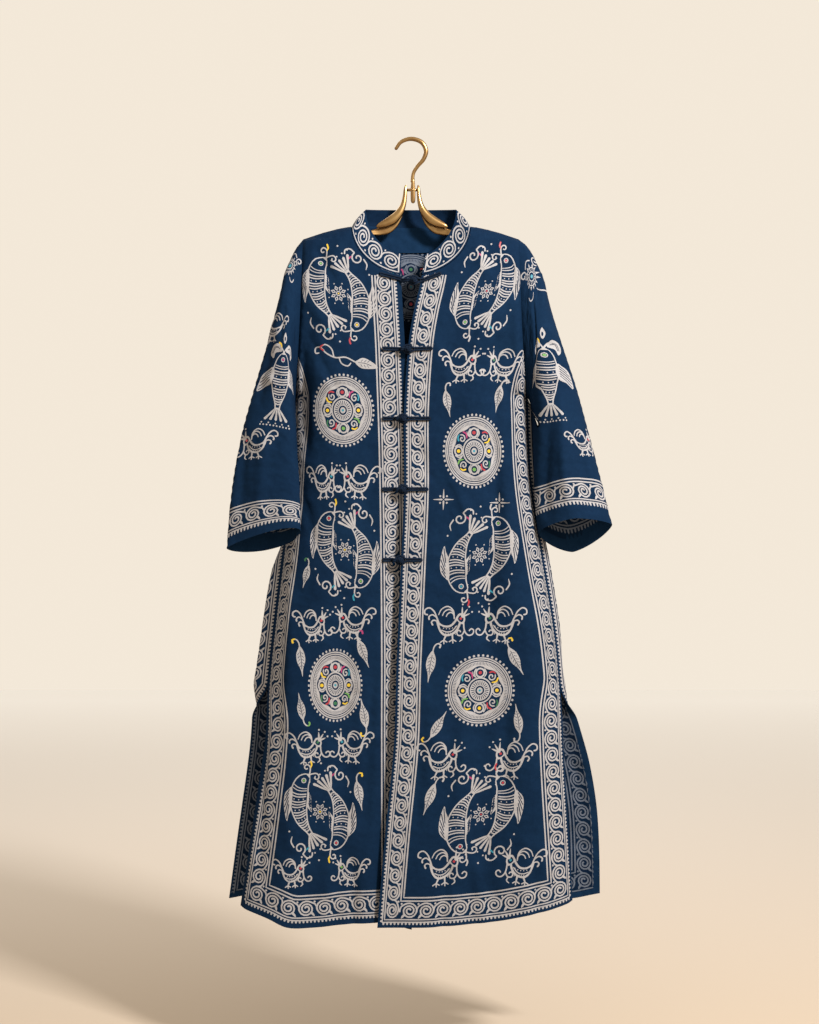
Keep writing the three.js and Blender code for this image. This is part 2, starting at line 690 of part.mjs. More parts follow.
function collarSolid() {
  const start = Math.asin(SIDES.left.opening(NECK.drop + NECK.frontDepth) / NECK.halfWidth);
  const end = 2 * Math.PI + Math.asin(SIDES.right.opening(NECK.drop + NECK.frontDepth) / NECK.halfWidth);
  const turns = [
    ...steps(COLUMNS.frontNeck).map((t) => lerp(start, Math.PI / 2, t)),
    ...steps(COLUMNS.backNeck).map((t) => lerp(Math.PI / 2, Math.PI * 1.5, t)).slice(1, -1),
    ...steps(COLUMNS.frontNeck).map((t) => lerp(Math.PI * 1.5, end, t)),
  ];
  const rise = [0.03, 0.35, 0.68, 1];
  const grid = rise.map((share) =>
    turns.map((turn) => {
      const fromEnd = Math.min(turn - start, end - turn);
      const bow = new THREE.Vector3(Math.sin(turn), -Math.cos(turn), 0);
      const place = neckSeam(turn).lerp(collarTop(turn, fromEnd), share);
      const out = COLLAR_BOW.out * Math.sin(Math.PI * share) - COLLAR_BOW.inset * (1 - share);
      return place.addScaledVector(bow, out);
    }),
  );
  return wall(cellsOf(grid, 1, (j) => (j === 0 ? "z" : null)), 1, -COLLAR_CLOTH, 0);
}

// Plain cloth inside the back neck, made from the back's own points.
function facingSolid() {
  const tops = backTops().filter((top) => Math.abs(top.x) < NECK.halfWidth - 1);
  const cells = steps(6).map((share) =>
    tops.map((top) => {
      const lowest = lerp(FACING.sideDrop, FACING.drop, Math.sqrt(1 - (top.x / NECK.halfWidth) ** 2));
      const drop = lerp(top.drop + 1, lowest, share ** 1.4);
      return bodyCell(backPoint, 1, backAcrossAt(top.x, drop), drop);
    }),
  );
  const inside = -CLOTH - FACING.gap;
  return wall(cells, 1, inside - FACING.cloth, inside);
}

// ---------------------------------------------------------------- frogs

// A strap that lies on a front between two places, made from the front's own points.
function strap(side, from, to) {
  const way = to.x > from.x ? -1 : 1;
  const surface = (across, drop) => frontPoint(side, across, drop);
  const cells = [-0.5, 0, 0.5].map((share) =>
    steps(4).map((t) => {
      const x = lerp(from.x, to.x, t);
      const drop = lerp(from.drop, to.drop, t) + share * FROG.height;
      return bodyCell(surface, -side.sign, acrossAt(side, x, drop), drop);
    }),
  );
  return wall(cells, way, FROG.clear, FROG.clear + FROG.cord);
}

// A round bar from one point to another.
function bar(from, to, radius, sides = 6) {
  const way = to.clone().sub(from).normalize();
  const helper = Math.abs(way.z) < 0.9 ? new THREE.Vector3(0, 0, 1) : new THREE.Vector3(1, 0, 0);
  const u = helper.clone().cross(way).normalize();
  const v = way.clone().cross(u);
  const ring = (centre) =>
    steps(sides)
      .slice(0, sides)
      .map((t) => {
        const angle = t * 2 * Math.PI;
        return centre
          .clone()
          .addScaledVector(u, radius * Math.cos(angle))
          .addScaledVector(v, radius * Math.sin(angle));
      });
  return loft([ring(from), ring(to)]);
}

// Where a frog's knot stands: in front of the edge of the left front.
function knotCentre(frog) {
  const x = Math.max(frog.knotX, SIDES.left.opening(frog.drop) + 0.5);
  const ground = frontPoint(SIDES.left, acrossAt(SIDES.left, x, frog.drop), frog.drop);
  return new THREE.Vector3(frog.knotX, ground.y - FROG.clear - FROG.knot, -frog.drop);
}

function knotSolid(frog) {
  const centre = knotCentre(frog);
  const end = { x: Math.min(frog.knotX - 12, SIDES.right.opening(frog.drop) - 5), drop: frog.drop };
  const start = { x: frog.rightX, drop: frog.drop - frog.rise };
  const ground = frontPoint(SIDES.right, acrossAt(SIDES.right, end.x - 3, frog.drop), frog.drop);
  const root = new THREE.Vector3(end.x - 2, ground.y - FROG.clear - FROG.cord / 2, -frog.drop);
  const over = new THREE.Vector3(centre.x - FROG.knot - FROG.play - FROG.cord, centre.y + 0.7, centre.z);
  const ball = new THREE.SphereGeometry(FROG.knot, 9, 6).translate(centre.x, centre.y, centre.z);
  const elbow = new THREE.SphereGeometry(FROG.shank, 6, 4).translate(over.x, over.y, over.z);
  const shank = [bar(root, over, FROG.shank), elbow, bar(over, centre, FROG.shank)];
  return joined(strap(SIDES.right, start, end), ...shank, ball);
}

function loopSolid(frog) {
  const centre = knotCentre(frog);
  const radius = FROG.knot + FROG.play + FROG.cord / 2;
  const end = { x: Math.max(centre.x + radius + 1, SIDES.left.opening(frog.drop) + 1), drop: frog.drop };
  const start = { x: frog.leftX, drop: frog.drop - frog.rise };
  const ringY = centre.y + FROG.knot - FROG.cord / 2 - 0.1;
  const ring = new THREE.TorusGeometry(radius, FROG.cord / 2, 6, 12)
    .rotateX(Math.PI / 2)
    .translate(centre.x, ringY, centre.z);
  const ground = frontPoint(SIDES.left, acrossAt(SIDES.left, end.x + 3, frog.drop), frog.drop);
  const root = new THREE.Vector3(end.x + 3, ground.y - FROG.clear - FROG.cord / 2, centre.z);
  const link = bar(new THREE.Vector3(centre.x + radius, ringY, centre.z), root, FROG.shank);
  return joined(strap(SIDES.left, start, end), link, ring);
}

// ---------------------------------------------------------------- hanger

function hookSolid() {
  const path = new THREE.CatmullRomCurve3(HOOK.map((p) => new THREE.Vector3(p.x, 0, p.z)));
  const rings = steps(26).map((t) => {
    const centre = path.getPointAt(t);
    const way = path.getTangentAt(t);
    const across = new THREE.Vector3(way.z, 0, -way.x);
    const tip = Math.min(1, 0.62 + t * 8);
    return steps(8)
      .slice(0, 8)
      .map((turn) => {
        const angle = turn * 2 * Math.PI;
        return centre
          .clone()
          .addScaledVector(across, WIRE * tip * Math.cos(angle))
          .add(new THREE.Vector3(0, WIRE * tip * Math.sin(angle), 0));
      });
  });
  const height = STEM.bottom - STEM.top;
  const blade = new THREE.BoxGeometry(2 * STEM.halfWidth, 2 * STEM.halfDepth, height)
    .translate(STEM.x, 0, -(STEM.top + STEM.bottom) / 2);
  const reach = HANGER_ARM[0].x - HANGER_ARM[0].halfThick - SEAM_GAP;
  const stud = bar(
    new THREE.Vector3(-reach + 1, 0, -STEM.studDrop),
    new THREE.Vector3(reach + 1, 0, -STEM.studDrop),
    STEM.studRadius,
  );
  return joined(loft(rings), blade, stud);
}

function armSolid(sign) {
  const rings = HANGER_ARM.map((row, k) => {
    const before = HANGER_ARM[Math.max(k - 1, 0)];
    const after = HANGER_ARM[Math.min(k + 1, HANGER_ARM.length - 1)];
    const way = new THREE.Vector2(after.x - before.x, -(after.drop - before.drop)).normalize();
    return steps(12)
      .slice(0, 12)
      .map((turn) => {
        const angle = -sign * turn * 2 * Math.PI;
        const thick = row.halfThick * Math.cos(angle);
        const x = row.x - way.y * thick;
        const z = -row.drop + way.x * thick;
        return new THREE.Vector3(sign * x + STEM.x / 2, row.y + row.halfDepth * Math.sin(angle), z);
      });
  });
  return loft(rings);
}

// ---------------------------------------------------------------- the jacket

const indigo = new THREE.MeshStandardMaterial({ color: 0x17345c, roughness: 0.9, metalness: 0 });
const navy = new THREE.MeshStandardMaterial({ color: 0x14294a, roughness: 0.85, metalness: 0 });
const brass = new THREE.MeshStandardMaterial({ color: 0xa8823f, roughness: 0.32, metalness: 1 });

const jacket = new THREE.Group();

function addPiece(name, geometry, material) {
  geometry.computeVertexNormals();
  const mesh = new THREE.Mesh(geometry, material);
  mesh.name = name;
  jacket.add(mesh);
}

addPiece("front_left", frontSolid(SIDES.left), indigo);
addPiece("front_right", frontSolid(SIDES.right), indigo);
addPiece("back", backSolid(), indigo);
addPiece("sleeve_left", sleeveSolid(SIDES.left), indigo);
addPiece("sleeve_right", sleeveSolid(SIDES.right), indigo);
addPiece("collar", collarSolid(), indigo);
addPiece("back_neck_facing", facingSolid(), navy);
FROGS.forEach((frog, i) => {
  addPiece(`frog_${i + 1}_knot`, knotSolid(frog), navy);
  addPiece(`frog_${i + 1}_loop`, loopSolid(frog), navy);
});
addPiece("hanger_hook", hookSolid(), brass);
addPiece("hanger_arm_left", armSolid(1), brass);
addPiece("hanger_arm_right", armSolid(-1), brass);

export default jacket;
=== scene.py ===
import math

import bmesh
import bpy
import numpy as np
from mathutils import Matrix, Vector
from mathutils.geometry import delaunay_2d_cdt


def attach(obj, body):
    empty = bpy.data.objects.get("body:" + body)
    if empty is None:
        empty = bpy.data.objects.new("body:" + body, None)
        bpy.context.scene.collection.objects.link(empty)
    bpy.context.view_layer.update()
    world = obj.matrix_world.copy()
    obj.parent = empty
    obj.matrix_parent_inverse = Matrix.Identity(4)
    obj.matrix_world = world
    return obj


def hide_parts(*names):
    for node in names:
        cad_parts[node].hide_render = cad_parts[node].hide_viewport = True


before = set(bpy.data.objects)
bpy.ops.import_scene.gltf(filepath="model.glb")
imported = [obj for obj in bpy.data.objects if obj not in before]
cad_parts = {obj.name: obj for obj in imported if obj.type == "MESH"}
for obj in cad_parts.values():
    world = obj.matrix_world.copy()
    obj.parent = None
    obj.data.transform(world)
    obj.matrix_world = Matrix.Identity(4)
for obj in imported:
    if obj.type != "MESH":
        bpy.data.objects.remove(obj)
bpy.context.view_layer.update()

MM = 0.001
LEFT, RIGHT = 1, -1

# -------- driving dimensions

CLOTH = 1.1                 # one layer of handwoven cotton
COLLAR_CLOTH = 2.2          # two layers and a stiffener
SEAM_GAP = 0.4              # between pieces that a seam joins
RIDGE_Y, SIDE_Y = -5, -8    # the planes of the shoulder and side seams
NECK = dict(half_width=95, drop=138, front_depth=83, back_depth=3, back_reach=30)
ARMHOLE = dict(top=158, bottom=408, x=172, underarm_x=183, scoop=3, front=36, back=30)
VENT_TOP = 865
CHEST_ROUND = dict(quick=22, slow=170)
SHOULDER = dict(x=(0, 95, 133, 172), drop=(138, 138, 145.5, 158))
FRONT_DEPTH = dict(drop=(138, 408, 700, 1246), y=(-56, -59, -57, -60))
BACK_DEPTH = dict(drop=(138, 408, 900, 1246), y=(27, 30, 29, 25))

OPENING = {
    LEFT: dict(drop=(138, 221, 280, 330, 438, 560, 680, 840, 960, 1104, 1246),
               x=(24, 17, 4, -4, -11, -11, -16, -23, -27, -41, -53)),
    RIGHT: dict(drop=(138, 221, 324, 375, 500, 700, 900, 1246), x=(-20, -16, -10, -8, -4, -1, 0, 1)),
}
FRONT_SIDE = {
    LEFT: dict(drop=(408, 540, 651, 777, 865, 987, 1133, 1246), x=(184, 190, 207, 228, 237, 243, 252, 258)),
    RIGHT: dict(drop=(408, 540, 648, 745, 865, 937, 1060, 1182, 1246),
                x=(184, 192, 202, 214, 227, 231, 247, 265, 275)),
}
# The fronts' edges: how far the right one tucks under at the opening, from which drop, over what length and
# to which y the side comes free, and how far the cloth turns back at the seam and where it is free.
FRONT_EDGE = dict(tuck=5, free_from=845, free_over=90, free_y=-28, turn=(16, 20))
BACK_FLARE = {
    LEFT: dict(drop=(408, 424, 442, 554, 630, 675, 774, 865, 934, 1001, 1086, 1246),
               out=(1, 8, 12, 14, 11, 12, 11, 10, 29, 44, 51, 46)),
    RIGHT: dict(drop=(408, 630, 690, 829, 894, 978, 1112, 1246), out=(1, 4, 17, 23, 26, 24, 24, 22)),
}
FRONT_HEM = {
    LEFT: dict(across=(0, 0.3, 0.57, 0.76, 1), drop=(1246, 1244, 1237, 1225, 1209)),
    RIGHT: dict(across=(0, 0.2, 0.55, 0.68, 0.8, 1), drop=(1250, 1240, 1246, 1245, 1232, 1217)),
}
BACK_HEM = dict(across=(0, 0.08, 0.3, 0.5, 0.75, 0.92, 1), drop=(1214, 1210, 1224, 1229, 1225, 1217, 1206))

# The largest folds of the body: from, until, at, to, width, swell.
FRONT_FOLDS = {
    LEFT: [(230, 560, 0.86, 0.8, 0.07, 7), (470, 1246, 0.58, 0.5, 0.09, 6),
           (640, 1246, 0.8, 0.78, 0.1, -7), (760, 1246, 0.2, 0.24, 0.11, -4)],
    RIGHT: [(240, 520, 0.9, 0.84, 0.07, 6), (620, 1246, 0.45, 0.42, 0.1, 6),
            (700, 1246, 0.75, 0.72, 0.1, -8), (820, 1246, 0.13, 0.15, 0.08, 4)],
}
BACK_FOLDS = [(330, 1228, 0.2, 0.17, 0.05, 7), (520, 1228, 0.38, 0.34, 0.05, -6),
              (420, 1228, 0.53, 0.52, 0.06, 6), (560, 1228, 0.68, 0.71, 0.05, -6),
              (330, 1228, 0.82, 0.85, 0.05, 6)]

# Creases: x and drop where they start and end, half width, height out of the cloth, and how bowed they are.
FRONT_CREASES = {
    LEFT: [(143, 300, 135, 470, 11, -8, 0), (135, 430, 138, 660, 12, -9, 4),
           (138, 600, 108, 830, 13, -7, 0), (160, 186, 164, 266, 6, -5, 0),
           (152, 262, 92, 350, 9, 3.2, 5), (150, 306, 104, 410, 7, -2.6, 4),
           (100, 150, 130, 240, 9, 2.8, 5), (32, 300, 62, 430, 9, 2.2, -5),
           (60, 520, 95, 606, 8, 2.2, 4), (150, 880, 144, 1070, 12, -5, 3),
           (82, 830, 66, 1150, 13, 4, 0), (196, 690, 222, 930, 9, 3, 0), (14, 880, 8, 1130, 9, -2.6, 0),
           (100, 1120, 122, 1290, 10, 4, 0), (60, 1110, 48, 1290, 9, -4, 0),
           (190, 1090, 204, 1270, 10, -4, 0), (60, 700, 104, 684, 7, -2, 4),
           (8, 470, 40, 560, 8, -1.8, 3)],
    RIGHT: [(-12, 380, -42, 1560, 19, -13, 0), (-152, 168, -117, 238, 8, -4.5, 0),
            (-166, 258, -112, 340, 9, 3, 5), (-160, 310, -108, 412, 7, -2.6, -4),
            (-100, 150, -130, 232, 9, 2.6, -5), (-174, 300, -166, 520, 8, -4, 0),
            (-186, 640, -196, 1010, 11, 4.4, 0), (-130, 556, -66, 606, 7, 2.4, 4),
            (-58, 800, -76, 1150, 11, -4.6, 0), (-120, 930, -140, 1290, 13, 4.6, 3),
            (-92, 1110, -92, 1290, 9, -4, 0), (-172, 560, -150, 660, 8, -3, 3),
            (-50, 480, -88, 640, 9, -2.2, 5), (-226, 900, -242, 1200, 9, -4, 0),
            (-60, 330, -95, 372, 7, 1.8, 3)],
}
BACK_CREASES = [(-150, 200, -70, 330, 10, -4, 6), (148, 196, 74, 344, 10, -4, -6),
                (-100, 160, -128, 270, 9, 3, 4), (98, 158, 122, 262, 8, 3, -4),
                (-40, 300, -52, 640, 13, -5, 5), (34, 280, 50, 560, 12, -4.4, -5),
                (-120, 420, -104, 700, 12, 5, 3), (126, 400, 112, 720, 12, 5.4, -3),
                (-6, 520, 4, 900, 14, 4.4, 0), (-150, 640, -176, 1010, 13, -6, 0),
                (150, 620, 182, 1020, 13, -6, 0), (-70, 760, -92, 1280, 14, 5.4, 0),
                (72, 800, 86, 1290, 14, 5, 0), (20, 880, 26, 1280, 12, -5, 0),
                (-190, 1000, -214, 1270, 11, 5, 0), (196, 980, 226, 1260, 11, 4.4, 0),
                (-130, 470, -60, 520, 7, 2.2, 4), (60, 500, 124, 470, 7, -2.2, 4)]
SLEEVE_CREASES = {
    LEFT: [(190, 250, 195, 360, 7, -3, 0), (231, 392, 256, 640, 8, 5, 0),
           (213, 424, 226, 640, 11, -5, 0), (206, 200, 214, 300, 9, 3.4, 0),
           (194, 190, 202, 270, 6, -3.6, 0), (205, 326, 246, 352, 6, -2.8, 3),
           (208, 376, 250, 398, 6, 2.4, 3), (266, 480, 284, 610, 9, -3.4, 0),
           (205, 300, 226, 322, 5, 2, 2)],
    RIGHT: [(-192, 186, -206, 306, 9, 3.6, 0), (-214, 296, -238, 440, 9, -4.6, 3),
            (-200, 336, -228, 366, 6, -2.4, 3), (-257, 456, -266, 610, 9, -4, 0),
            (-224, 430, -233, 640, 10, 3.6, 0), (-198, 250, -206, 340, 6, -3, 0),
            (-205, 400, -250, 380, 6, 2.2, 3), (-196, 470, -216, 500, 6, -2, 2)],
}

# Sleeve sections: outer x and drop, inner x and drop, the edges' plane, the reach before and behind it,
# and the roundness.
SLEEVE = {
    LEFT: [(172, 158, 183, 408, -5, 36, 30, 2), (187, 172, 188, 415, -8, 41, 33, 2),
           (203, 203, 191, 426, -11, 43, 34, 2), (223, 272, 193, 448, -15, 42, 35, 1.9),
           (243, 335, 193, 476, -18, 40, 36, 1.8), (264, 400, 194, 508, -21, 38, 37, 1.7),
           (284, 475, 195, 545, -24, 37, 38, 1.6), (303, 548, 197, 586, -26, 36, 39, 1.5),
           (319, 614, 201, 626, -28, 36, 40, 1.4)],
    RIGHT: [(172, 158, 183, 408, -5, 36, 30, 2), (185, 176, 184, 414, -12, 42, 32, 2),
            (195, 204, 184, 424, -22, 43, 36, 2), (210, 262, 182, 443, -38, 38, 40, 2),
            (227, 325, 180, 470, -49, 32, 42, 2), (246, 395, 179, 505, -55, 28, 42, 1.9),
            (267, 475, 178, 545, -59, 25, 42, 1.9), (281, 555, 178, 588, -62, 24, 41, 1.8),
            (289, 650, 179, 632, -64, 24, 41, 1.8)],
}
# Half the widest girth of a sleeve, over which its rings mustn't cross on the flat cloth, and a margin.
HALF_GIRTH, LEAN_MARGIN = 215, 0.7
SLEEVE_LENGTH = 420
CUFF = {LEFT: dict(lean=0.1, lift=17, sag=38, fade=2), RIGHT: dict(lean=0.6, lift=16, sag=14, fade=2)}

COLLAR_TOP = dict(half_width=72, drop=110, front_depth=76, back_rise=4, middle_y=-3, fore_y=32, aft_y=31)
COLLAR_BOW = dict(out=2.5, inset=0.5)
# How far the collar's ends lean outwards, and over how much of the turn.
COLLAR_SPREAD, SPREAD_REACH = {LEFT: 11, RIGHT: 3}, 0.35
COLLAR_HEIGHT = 38
COLLAR_FOOT = 0.03          # how far above the neck seam its lower edge is, as a share of its height
# The collar's print: the middle of its whorls as a share of the height, their size and pitch, and the line
# along its edges.
COLLAR_PRINT = dict(middle=0.54, size=1.18, pitch=32, margin=3.4, top_margin=1.2, line=2.2)
FACING = dict(above=5, drop=176, side_drop=158, inset=1.5, cloth=0.8, gap=1.6)
# The turned hems that show from inside: the back's at its right edge, left edge and hem, and the cuffs'.
TURNED = dict(right=2.6, left=11, hem=9, cuff=20)

# Frogs: the knot's drop, how much higher the straps start, and the X of the two starts and of the knot.
FROGS = [(229, 10, -47, 45, 4), (338, 1, -43, 31, -5), (447, 0, -43, 28, -13), (558, 0, -43, 24, -13),
         (669, 0, -43, 15, -17)]
FROG_CORD = 3.3
FROG_KNOT = 5.4
FROG_CLEAR = 0.5
BRAID = dict(radius=1.25, core=1.2, out=1.15, wave=0.7, height=0.82)

HOOK = [(-24, -12), (-16, -1.5), (0, 3.6), (17, -2), (24, -15), (20.5, -28), (10, -41), (4, -51),
        (2, -66)]
STUD = dict(drop=78, y=1.2, radius=2.4, x=(-7, -3, 5, 9.6), head_y=-2.7, head_radius=1.9)
HOOK_THICK = dict(along=(0, 0.12, 0.3, 0.6, 0.8, 1), radius=(2.7, 3.1, 3.6, 3.6, 3, 2.9))
# The blade below the hook: drop, half width, half depth.
BLADE = [(60, 2.7, 2.7), (64, 2.8, 2.8), (70, 3.3, 2.8), (78, 3.9, 2.6), (88, 3.9, 2.3), (95, 3.7, 2.1),
         (98, 3, 1.8), (99.4, 1.6, 1.1)]
BLADE_X = 3.2
HANGER_X = 1.5
# The leaf and the arm behind it: x and drop of the lower and of the upper edge, y, bow, half thickness.
LEAF = [(9.9, 71.5, 12.6, 70.5, -1, 0.6, 1), (9.4, 78, 14.6, 76.5, -1.5, 1.4, 1.3),
        (9.5, 90, 16.4, 89, -2, 2, 1.4), (11.2, 104, 20.4, 102.5, -3, 2.4, 1.4),
        (16, 118, 28.5, 113.5, -4.5, 2.6, 1.4), (26, 131, 38.5, 121.5, -6, 2.6, 1.4),
        (39, 137.8, 48, 128, -7, 2.2, 1.4), (50, 139.8, 55.6, 133, -7.5, 1.6, 1.3),
        (57, 139.9, 59, 137.4, -7.5, 0.6, 0.9)]
ARM = [(10.4, 74, 12.4, 73, 3, 0, 1), (10, 90, 15.6, 89, 3, 0, 1.4), (12.4, 106, 19, 104, 2.5, 0, 1.6),
       (17.5, 122, 26, 116, 2, 0, 1.6), (25, 137, 38, 125, 1, 0, 1.7), (37, 147.5, 47, 133, 0, 0, 1.8),
       (52, 151, 58, 140, -1, 0, 1.8), (66, 151.5, 70, 143.5, -3, 0, 1.8),
       (82, 153, 85, 146.5, -5, 0, 1.8), (98, 156, 100, 150.5, -5, 0, 1.8),
       (130, 162, 132, 157, -5, 0, 1.8), (157, 171.5, 158, 167.5, -5, 0, 1.6)]

# The printed border, inwards from the edge of the cloth.
BORDER = dict(plain=2.6, bead=3.3, bead_pitch=5.8, bead_width=3.3, line=2, gap=2, band=27, double=2.3,
              between=3)
WHORL_PITCH = 27
# The borders along the opening: the plain margin, how much narrower they are, the pitch of the whorls,
# and how narrow the border along the side gets towards the underarm.
PLACKET = {LEFT: dict(plain=4.4, scale=0.8, pitch=WHORL_PITCH, side=0.95),
           RIGHT: dict(plain=8, scale=0.9, pitch=24.4, side=0.72)}
# How the side's border runs on from the underarm, off under the sleeve.
BORDER_END = [(0, 0), (2, -22), (13, -44), (42, -60)]
CUFF_PLAIN = {LEFT: 23, RIGHT: 15}
CUFF_BEAD = 5.2
STROKE = 2.5

# The camera: where it stands, its lens and the long side of its sensor.
CAMERA_AT = (-0.0024, -3.0, -0.5936)
LENS, SENSOR = 65.9, 36
# The lights: place, size, watts and colour, and the place that they point at.
LIGHTS = dict(key=((1.5, -1.8, 1.1), 0.45, 150, (1, 0.97, 0.93)),
              rim=((-0.6, 1.8, 0.9), 1.2, 12, (1, 0.95, 0.88)))
LIT = (0, 0, -0.65)
STUDIO = (0.90, 0.81, 0.69, 1)
# The floor: its height, half its size, the two Y between which its colour changes, and its colours there:
# darker near the jacket, painted shade where the key light falls strongest, and pale far off.
FLOOR = dict(z=-1.45, half=6, near=0.1, far=5.5, colours=((0.44, 0.36, 0.28), (0.92, 0.92, 0.92)))

# -------- small mathematics


def lerp(a, b, t):
    return a + (b - a) * t


def ease(q):
    t = np.clip(q, 0, 1)
    return t * t * (3 - 2 * t)


def bell(q):
    return np.exp(-q * q)


def smooth(keys, values):
    """A smooth function through a table, by cubic pieces with the neighbours' slopes."""
    keys, values = np.array(keys, float), np.array(values, float)
    low = np.maximum(np.arange(len(keys)) - 1, 0)
    high = np.minimum(np.arange(len(keys)) + 1, len(keys) - 1)
    slopes = (values[high] - values[low]) / (keys[high] - keys[low])

    def read(at):
        i = np.clip(np.searchsorted(keys, at) - 1, 0, len(keys) - 2)
        span = keys[i + 1] - keys[i]
        t = np.clip((at - keys[i]) / span, 0, 1)
        bend = t * (1 - t) * span * ((1 - t) * slopes[i] - t * slopes[i + 1])
        return lerp(values[i], values[i + 1], t * t * (3 - 2 * t)) + bend

    return read


def table(columns):
    """A table of two named columns as a smooth function of the first."""
    return smooth(*columns.values())


def lengths(points):
    """How far along a polyline each of its points is."""
    return np.concatenate([[0], np.cumsum(np.linalg.norm(np.diff(points, axis=0), axis=1))])


def through(points, count=60):
    """A smooth open curve through points: a centripetal Catmull-Rom curve as a polyline."""
    points = np.array(points, float)
    p = np.vstack([2 * points[0] - points[1], points, 2 * points[-1] - points[-2]])
    knots = np.sqrt(np.linalg.norm(np.diff(p, axis=0), axis=1))
    u = np.linspace(0, len(points) - 1, count + 1)
    i = np.minimum(u.astype(int), len(points) - 2)
    t = (u - i)[:, None]
    d0, d1, d2 = (knots[i + k][:, None] for k in range(3))
    p0, p1, p2, p3 = (p[i + k] for k in range(4))
    m1 = ((p1 - p0) / d0 - (p2 - p0) / (d0 + d1) + (p2 - p1) / d1) * d1
    m2 = ((p2 - p1) / d1 - (p3 - p1) / (d1 + d2) + (p3 - p2) / d2) * d1
    cubic = 2 * p1 - 2 * p2 + m1 + m2
    square = -3 * p1 + 3 * p2 - 2 * m1 - m2
    return ((cubic * t + square) * t + m1) * t + p1


def evenly(points, step):
    """A polyline's points at equal distances of about one step."""
    points = np.array(points, float)
    far = lengths(points)
    count = max(int(round(far[-1] / step)), 1)
    at = np.linspace(0, far[-1], count + 1)
    return np.stack([np.interp(at, far, points[:, k]) for k in range(points.shape[1])], axis=1)


class Grid:
    """A smooth surface of numbers, read between its rows and columns."""

    def __init__(self, rows, values):
        self.first, self.step = rows[0], rows[1] - rows[0]
        self.values = np.array(values)

    def read(self, share, row):
        height, width = self.values.shape[:2]
        v = np.clip((row - self.first) / self.step, 0, height - 1.0001)
        u = np.clip(share * (width - 1), 0, width - 1.0001)
        j, i = v.astype(int), u.astype(int)
        v, u = v - j, u - i
        grid = self.values
        return lerp(lerp(grid[j, i], grid[j, i + 1], u), lerp(grid[j + 1, i], grid[j + 1, i + 1], u), v)


# -------- the form of the body

shoulder_drop = table(SHOULDER)
front_depth = table(FRONT_DEPTH)
back_depth = table(BACK_DEPTH)
opening = {side: table(OPENING[side]) for side in (LEFT, RIGHT)}
front_side = {side: table(FRONT_SIDE[side]) for side in (LEFT, RIGHT)}
back_flare = {side: table(BACK_FLARE[side]) for side in (LEFT, RIGHT)}
front_hem = {side: table(FRONT_HEM[side]) for side in (LEFT, RIGHT)}
back_hem = table(BACK_HEM)

SHARES = np.linspace(0, 1, 97)
DROPS = np.arange(138, 1262, 2.0)


def fullness(below):
    """How much of its full depth the cloth has, a distance below the shoulder."""
    quick = 1 - np.clip(below / CHEST_ROUND["quick"], 0, 1)
    slow = np.clip(below / CHEST_ROUND["slow"], 0, 1)
    return 0.5 * np.sqrt(1 - quick * quick) + 0.5 * np.sin(math.pi / 2 * slow)


def armhole(drop):
    """The armhole seam at a drop: its x, its plane, and how far it stands out of it."""
    middle, half = (ARMHOLE["top"] + ARMHOLE["bottom"]) / 2, (ARMHOLE["bottom"] - ARMHOLE["top"]) / 2
    cosine = np.clip((middle - drop) / half, -1, 1)
    sine = np.sqrt(1 - cosine * cosine)
    x = lerp(ARMHOLE["x"], ARMHOLE["underarm_x"], (1 - cosine) / 2) - ARMHOLE["scoop"] * sine * sine
    y = lerp(RIDGE_Y, SIDE_Y, (1 - cosine) / 2)
    return x, y, sine / np.maximum(fullness(drop - ARMHOLE["top"]), 0.02)


def fold_swell(folds, across, drop):
    """How far the large folds stand out. Those that end above the vents fade there."""
    total = 0
    for start, until, at, to, width, swell in folds:
        part = (drop - start) / (until - start)
        fade = 1 if until > VENT_TOP else ease((1 - part) / 0.3)
        centre = lerp(at, to, np.clip(part, 0, 1))
        total = total + swell * ease(part / 0.3) * fade * bell((across - centre) / width)
    return total


def front_section(side, drop):
    """The corner points of a front's section at a drop, from the opening to the side, as if on the left."""
    if drop >= ARMHOLE["bottom"]:
        edge_x, edge_y = front_side[side](drop), SIDE_Y - SEAM_GAP / 2
    else:
        edge_x, seam_y, reach = armhole(drop)
        edge_y = seam_y - SEAM_GAP / 2 - ARMHOLE["front"] * reach
    open_x = opening[side](drop) * side
    depth = front_depth(drop)
    tuck = 0 if side == LEFT else FRONT_EDGE["tuck"]
    loose = float(ease((drop - FRONT_EDGE["free_from"]) / FRONT_EDGE["free_over"]))
    edge_y = lerp(edge_y, FRONT_EDGE["free_y"], loose)
    turn = min(lerp(*FRONT_EDGE["turn"], loose), 0.45 * abs(edge_y - depth) + 6 * loose)
    return [(open_x, depth + tuck), (lerp(open_x, edge_x, 0.3), depth + tuck * 0.6),
            (lerp(open_x, edge_x, 0.62), depth + 1), (edge_x - 2.2 * turn, lerp(depth, edge_y, 0.2)),
            (edge_x - 0.5 * turn, lerp(depth, edge_y, 0.62)), (edge_x, edge_y)]


def back_half(side, drop):
    """The corner points of the back's section near one edge, which is free below the vent."""
    depth = back_depth(drop)
    if drop < ARMHOLE["bottom"]:
        x, seam_y, reach = armhole(drop)
        y = seam_y + SEAM_GAP / 2 + ARMHOLE["back"] * reach
        return [(x, y), (x - 6, lerp(y, depth, 0.35)), (x - 26, lerp(y, depth, 0.85))]
    free = ease((drop - VENT_TOP) / 60)
    seam_x, out = front_side[side](drop), back_flare[side](drop)
    return [(seam_x + out * free, lerp(SIDE_Y + SEAM_GAP / 2, 12, free)),
            (seam_x + out - 9 * free, lerp(3, 15.5, free)),
            (seam_x + out - lerp(12, 30, free), lerp(depth - 9, depth - 4, free))]


def back_section(drop):
    """The corner points of the back's section at a drop, from the wearer's right edge to the left one."""
    right = [(-x, y) for x, y in back_half(RIGHT, drop)]
    left = back_half(LEFT, drop)[::-1]
    depth = back_depth(drop)
    inner_x = left[0][0] * 0.55
    return right + [(-inner_x, depth), (0, depth), (inner_x, depth)] + left


